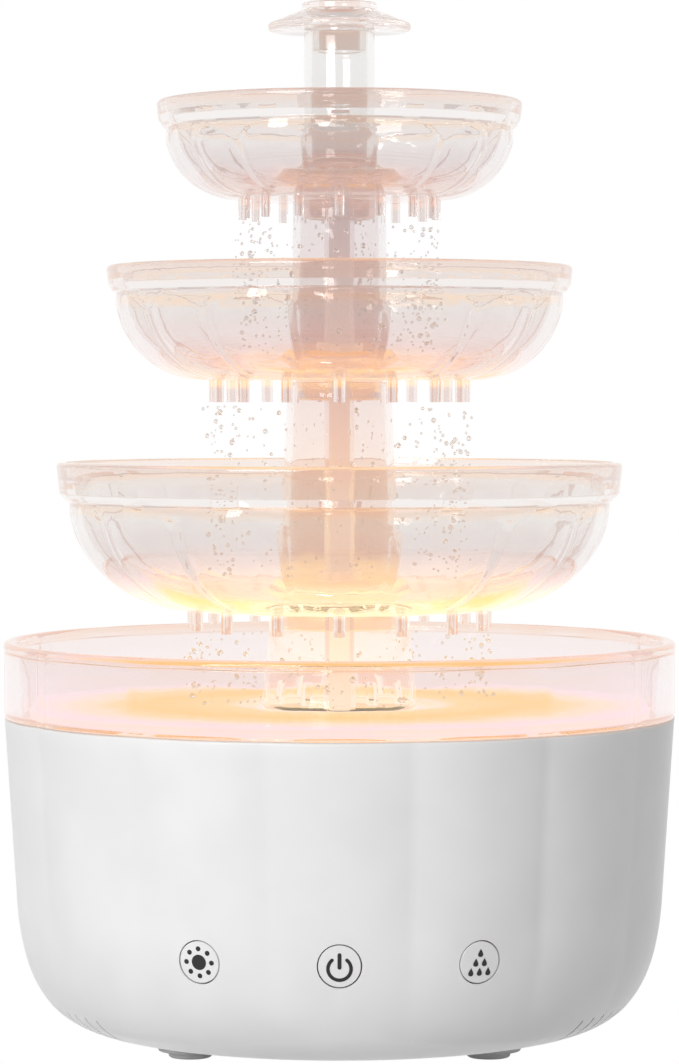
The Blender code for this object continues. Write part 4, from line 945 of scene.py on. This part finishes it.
def make_tube(node, radii, wall, material, body):
    """A tapered clear tube with softened ends."""
    low, high = bottom_of(node), top_of(node)
    foot, head = radii
    soft = 0.25 * MM
    profile = outline([(head - wall, high, soft), (head, high, soft), (foot, low, soft),
                       (foot - wall, low, soft)], 4)
    piece = turned(node + "_clear", dense(profile, 4 * MM), 120)
    finish_piece(piece, material, body, "clear_acrylic", node)


def make_lower_column():
    """The widest column, on its flange, with intake slots round its foot."""
    low, high = bottom_of("lower_column"), top_of("lower_column")
    foot_r, head_r, wall = 18.6 * MM, 17.0 * MM, COLUMN_WALL
    flange_r = span("lower_column")[0]
    deck = BASIN_FLOOR_Z + 0.3 * MM
    flange_top = deck + 1.5 * MM
    skirt = WELL_R - 0.3 * MM
    soft = 0.3 * MM
    profile = outline([
        (head_r - wall, high, soft), (head_r, high, soft), (foot_r, flange_top, 1.5 * MM),
        (flange_r, flange_top, 2 * soft), (flange_r, deck, soft), (skirt, deck, soft),
        (skirt, low, soft), (foot_r - wall, low, soft), (foot_r - wall, flange_top, 0)], 5)
    column = turned("lower_column_clear", dense(profile, 3 * MM), 180)
    slots = [(Matrix.Rotation(FRONT + LOBE_ANGLE * i, 4, "Z")
              @ Matrix.Translation((foot_r, 0, flange_top + 4.5 * MM)),
              (8 * MM, 2.0 * MM, 6.0 * MM)) for i in range(LOBES)]
    apply_boolean(column, boxes("intake_slots", slots), "DIFFERENCE")
    finish_piece(column, COLUMN_ACRYLIC, "lower_tier", "clear_acrylic", "lower_column")


SPOUT_R = 8.6 * MM
SPOUT_WALL = 1.8 * MM
FLARE_HEIGHT = 5.5 * MM
COLLAR_R = 10.3 * MM
COLLAR_LOW, COLLAR_HIGH = 223.5 * MM, 227.8 * MM
COLLAR_EASE = 0.9 * MM


def make_spout_tube():
    """The spout's tube: flared foot, straight bore, and a collar near the bowl's rim."""
    low, high = bottom_of("spout_tube"), top_of("spout_tube")
    foot = span("spout_tube")[0]
    bore = SPOUT_R - SPOUT_WALL
    above_flare = COLLAR_LOW - 6.5 * MM
    t = np.linspace(0, math.pi / 2, 14)
    flare = np.stack([foot - (foot - SPOUT_R) * np.sin(t),
                      low + SPOUT_WALL + FLARE_HEIGHT * (1 - np.cos(t))], 1)[::-1]
    upper = outline([
        (bore, high, 0.3 * MM), (SPOUT_R, high, 0.3 * MM),
        (SPOUT_R, COLLAR_HIGH + 0.8 * MM, 0.5 * MM), (COLLAR_R, COLLAR_HIGH, 0.8 * MM),
        (COLLAR_R, COLLAR_LOW, 0.8 * MM), (SPOUT_R, COLLAR_LOW - COLLAR_EASE, 0.5 * MM),
        (SPOUT_R, above_flare, 0), (bore, above_flare, 0)], 5)[:-1]
    profile = np.vstack([upper, flare, [(foot, low), (bore, low)]])
    piece = turned("spout_tube_clear", dense(profile, 3 * MM), 120)
    finish_piece(piece, CAP_ACRYLIC, "upper_tier", "clear_acrylic", "spout_tube")


CAP_BORE_R = 5.0 * MM
CAP_PLUG_R = 6.5 * MM
CAP_RING_R = 9.2 * MM
CAP_RING_FOOT = 250.7 * MM
CAP_EDGE_HIGH, CAP_EDGE_LOW = 247.4 * MM, 245.6 * MM
CAP_UNDER_R = 10.4 * MM


def make_cap():
    """The umbrella cap: plug in the tube, rounded drip edge, ring round the outlet."""
    tip_r, low, high = span("spout_cap")
    under = top_of("spout_tube") + 0.3 * MM
    soft = 0.3 * MM
    profile = outline([
        (CAP_BORE_R, high, soft), (CAP_RING_R, high, 2 * soft),
        (CAP_RING_R, CAP_RING_FOOT, soft), (tip_r, CAP_EDGE_HIGH, 0.75 * MM),
        (tip_r, CAP_EDGE_LOW, 0.75 * MM), (CAP_UNDER_R, under, 2 * MM),
        (CAP_PLUG_R, under, soft), (CAP_PLUG_R, low, soft), (CAP_BORE_R, low, soft)], 7)
    cap = turned("spout_cap_clear", dense(profile, 2 * MM), 120)
    finish_piece(cap, CAP_ACRYLIC, "spout_cap", "clear_acrylic", "spout_cap")


def make_tiers():
    """Bowls, columns, pipes and spout."""
    make_bowl("large_bowl", "lower_tier", LARGE_ACRYLIC)
    make_bowl("middle_bowl", "middle_tier", MIDDLE_ACRYLIC)
    make_bowl("small_bowl", "upper_tier", SMALL_ACRYLIC)
    make_lower_column()
    for tier, foot, head in (("middle", 14.6 * MM, 12.7 * MM), ("upper", 11.8 * MM, 11.3 * MM)):
        make_tube(tier + "_column", (foot, head), COLUMN_WALL, COLUMN_ACRYLIC, tier + "_tier")
    for tier in ("lower", "middle", "upper"):
        make_tube("riser_" + tier, (PIPE_R, PIPE_R), PIPE_WALL, PIPE_ACRYLIC, tier + "_tier")
    make_spout_tube()
    make_cap()


# --- falling drops ---
DROP_COLUMNS = 8
DROP_ROWS = 5
RAIN_SPREAD = 1.3 * MM


def drop_points(centres, radii):
    """Small closed balls: each is a grid of rings between two poles."""
    polar = math.pi * np.arange(1, DROP_ROWS) / DROP_ROWS
    around = 2 * math.pi * np.arange(DROP_COLUMNS) / DROP_COLUMNS
    x = np.sin(polar)[:, None] * np.cos(around)
    y = np.sin(polar)[:, None] * np.sin(around)
    z = np.broadcast_to(np.cos(polar)[:, None], x.shape)
    ball = np.vstack([np.stack([x, y, z], -1).reshape(-1, 3), [[0, 0, 1.15], [0, 0, -1]]])
    faces = quads(DROP_ROWS - 1, DROP_COLUMNS, False).tolist()
    faces += pole_fans(DROP_ROWS - 1, DROP_COLUMNS)
    points = (centres[:, None, :] + ball[None] * radii[:, None, None]).reshape(-1, 3)
    every = []
    for i in range(len(centres)):
        shift = i * len(ball)
        every += [[shift + c for c in face] for face in faces]
    return points, every


def make_rain(name, node, body, floor, per_nozzle, seed):
    """Rain under one bowl: a curtain of drops below its nozzles, down to the next water."""
    random = np.random.default_rng(seed)
    count = per_nozzle * LOBES
    azimuth = random.uniform(0, 2 * math.pi, count)
    ring = BOWLS[node]["ring"] + random.normal(0, RAIN_SPREAD, count)
    tip = bottom_of(node) - 0.8 * MM
    height = random.uniform(floor, tip, count)
    centres = np.column_stack([ring * np.cos(azimuth), ring * np.sin(azimuth), height])
    radii = random.uniform(0.2, 0.42, count) * MM
    radii[::6] = random.uniform(0.5, 0.7, len(radii[::6])) * MM
    rain = to_mesh(name, *drop_points(centres, radii))
    finish_piece(rain, WATER, body, "clear_acrylic")


def make_water():
    """The water in the basin and the rain under the three bowls."""
    soft = 0.2 * MM
    inner = span("lower_column")[0] + 0.4 * MM
    low, high = BASIN_FLOOR_Z + 0.15 * MM, BASIN_FLOOR_Z + 2.6 * MM
    outer = BASIN_R - BASIN_WALL - BASE_LOBE_DEPTH - 0.3 * MM
    pool = turned("basin_water", dense(outline([
        (inner, high, soft), (outer, high, soft), (outer, low, soft), (inner, low, soft)]),
        4 * MM), 180)
    finish_piece(pool, lit_water(), "base", "clear_acrylic")
    make_rain("rain_under_small_bowl", "small_bowl", "upper_tier", 166 * MM, 26, 11)
    make_rain("rain_under_middle_bowl", "middle_bowl", "middle_tier", 112 * MM, 26, 12)
    make_rain("rain_under_large_bowl", "large_bowl", "lower_tier", 82.5 * MM, 16, 13)


# --- carried-over nodes ---
def dress_inner_nodes():
    """Materials of the nodes that keep their shape: boards, pump, screws, seals."""
    switches = [key.replace("_key", "_switch") for key in KEY_AZIMUTHS]
    finishes = {
        circuit_board(): ["control_board", "led_board", "main_board"],
        BLACK: ["power_jack", *switches, "pump_body", "pump_cover", "pump_rotor"],
        zinc_steel(): [*(f"cover_screw_{i}" for i in range(1, 5)), "board_screw_left",
                       "board_screw_right", "jack_nut"],
        SILICONE: ["basin_gasket", "riser_seal_lower", "riser_seal_upper", "spout_seal"],
        ceramic(): ["pump_shaft"],
        led_package(): [f"led_{i}" for i in range(1, 7)],
    }
    for material, nodes in finishes.items():
        for node in nodes:
            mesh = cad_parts[node].data
            mesh.materials.clear()
            mesh.materials.append(material)


# --- studio ---
CAMERA_DISTANCE = 0.978
CAMERA_HEIGHT = 0.157
CAMERA_TILT = math.radians(1.96)
LENS = 135.3
SKY_ON_MATTE = 0.53
KEY_LIGHT_PLACE = Vector((-0.64, -1.10, 0.62))
KEY_LIGHT_AIM = Vector((0.0, 0.0, 0.11))
KEY_LIGHT_SIZE = 0.7
KEY_LIGHT_POWER = 10.6
LIGHT_TURNS = 24


def make_camera():
    """A long lens just above the fountain's middle, tipped slightly down."""
    data = bpy.data.cameras.new("camera")
    data.lens = LENS
    data.clip_start = 0.05
    camera = placed("camera", data)
    camera.location = (0.0, -CAMERA_DISTANCE, CAMERA_HEIGHT)
    camera.rotation_euler = (math.pi / 2 - CAMERA_TILT, 0.0, 0.0)
    bpy.context.scene.camera = camera


def key_light():
    """A square soft box on the left that faces the fountain."""
    data = bpy.data.lights.new("key_left", "AREA")
    data.size = KEY_LIGHT_SIZE
    data.energy = KEY_LIGHT_POWER
    light = placed("key_left", data)
    light.location = KEY_LIGHT_PLACE
    light.rotation_euler = (KEY_LIGHT_AIM - KEY_LIGHT_PLACE).to_track_quat("-Z", "Y").to_euler()


def make_studio():
    """White cyclorama: pale floor, bright band at eye level, soft key from the left."""
    data = bpy.data.meshes.new("floor")
    data.from_pydata([(-6, -6, 0), (6, -6, 0), (6, 6, 0), (-6, 6, 0)], [], [(0, 1, 2, 3)])
    floor = placed("floor", data)
    paper, tree, output = new_material("white_studio_paper")
    lit = add(tree, "ShaderNodeEmission", {"Color": linear("#ffffff"), "Strength": 1.0})
    matte = add(tree, "ShaderNodeBsdfDiffuse", {"Color": linear("#cccccc")})
    path = add(tree, "ShaderNodeLightPath")
    mix = blended(tree, path.outputs["Is Diffuse Ray"], lit, matte)
    tree.links.new(mix.outputs[0], output.inputs["Surface"])
    data.materials.append(paper)
    world = bpy.data.worlds.new("studio")
    bpy.context.scene.world = world
    world.use_nodes = True
    tree = world.node_tree
    tree.nodes.clear()
    output = tree.nodes.new("ShaderNodeOutputWorld")
    point = add(tree, "ShaderNodeTexCoord").outputs["Generated"]
    rise = add(tree, "ShaderNodeSeparateXYZ", {0: point}).outputs["Z"]
    sky = ramp(tree, mapped(tree, rise, 0.0, 1.0, -1.0, 1.0),
               [(0.0, "#d8d8d8"), (0.42, "#ffffff"), (0.64, "#ffffff"), (0.78, "#d2cac7"),
                (0.9, "#dcdee0"), (1.0, "#ffffff")])
    path = add(tree, "ShaderNodeLightPath")
    colour = add(tree, "ShaderNodeMix", {0: path.outputs["Is Camera Ray"], 6: sky,
                                         7: (1, 1, 1, 1)}, data_type="RGBA")
    strength = mapped(tree, path.outputs["Is Diffuse Ray"], 1.0, SKY_ON_MATTE)
    background = add(tree, "ShaderNodeBackground",
                     {"Color": colour.outputs[2], "Strength": strength})
    tree.links.new(background.outputs[0], output.inputs["Surface"])
    key_light()
    bpy.context.scene.view_settings.view_transform = "Standard"
    cycles = bpy.context.scene.cycles
    for kind in ("max", "transmission", "glossy"):
        setattr(cycles, kind + "_bounces", LIGHT_TURNS)
    cycles.transparent_max_bounces = LIGHT_TURNS


# --- build ---
make_camera()
make_studio()
make_shell()
make_keys()
make_icons()
make_underside()
make_basin()
make_diffuser()
make_tiers()
make_water()
dress_inner_nodes()
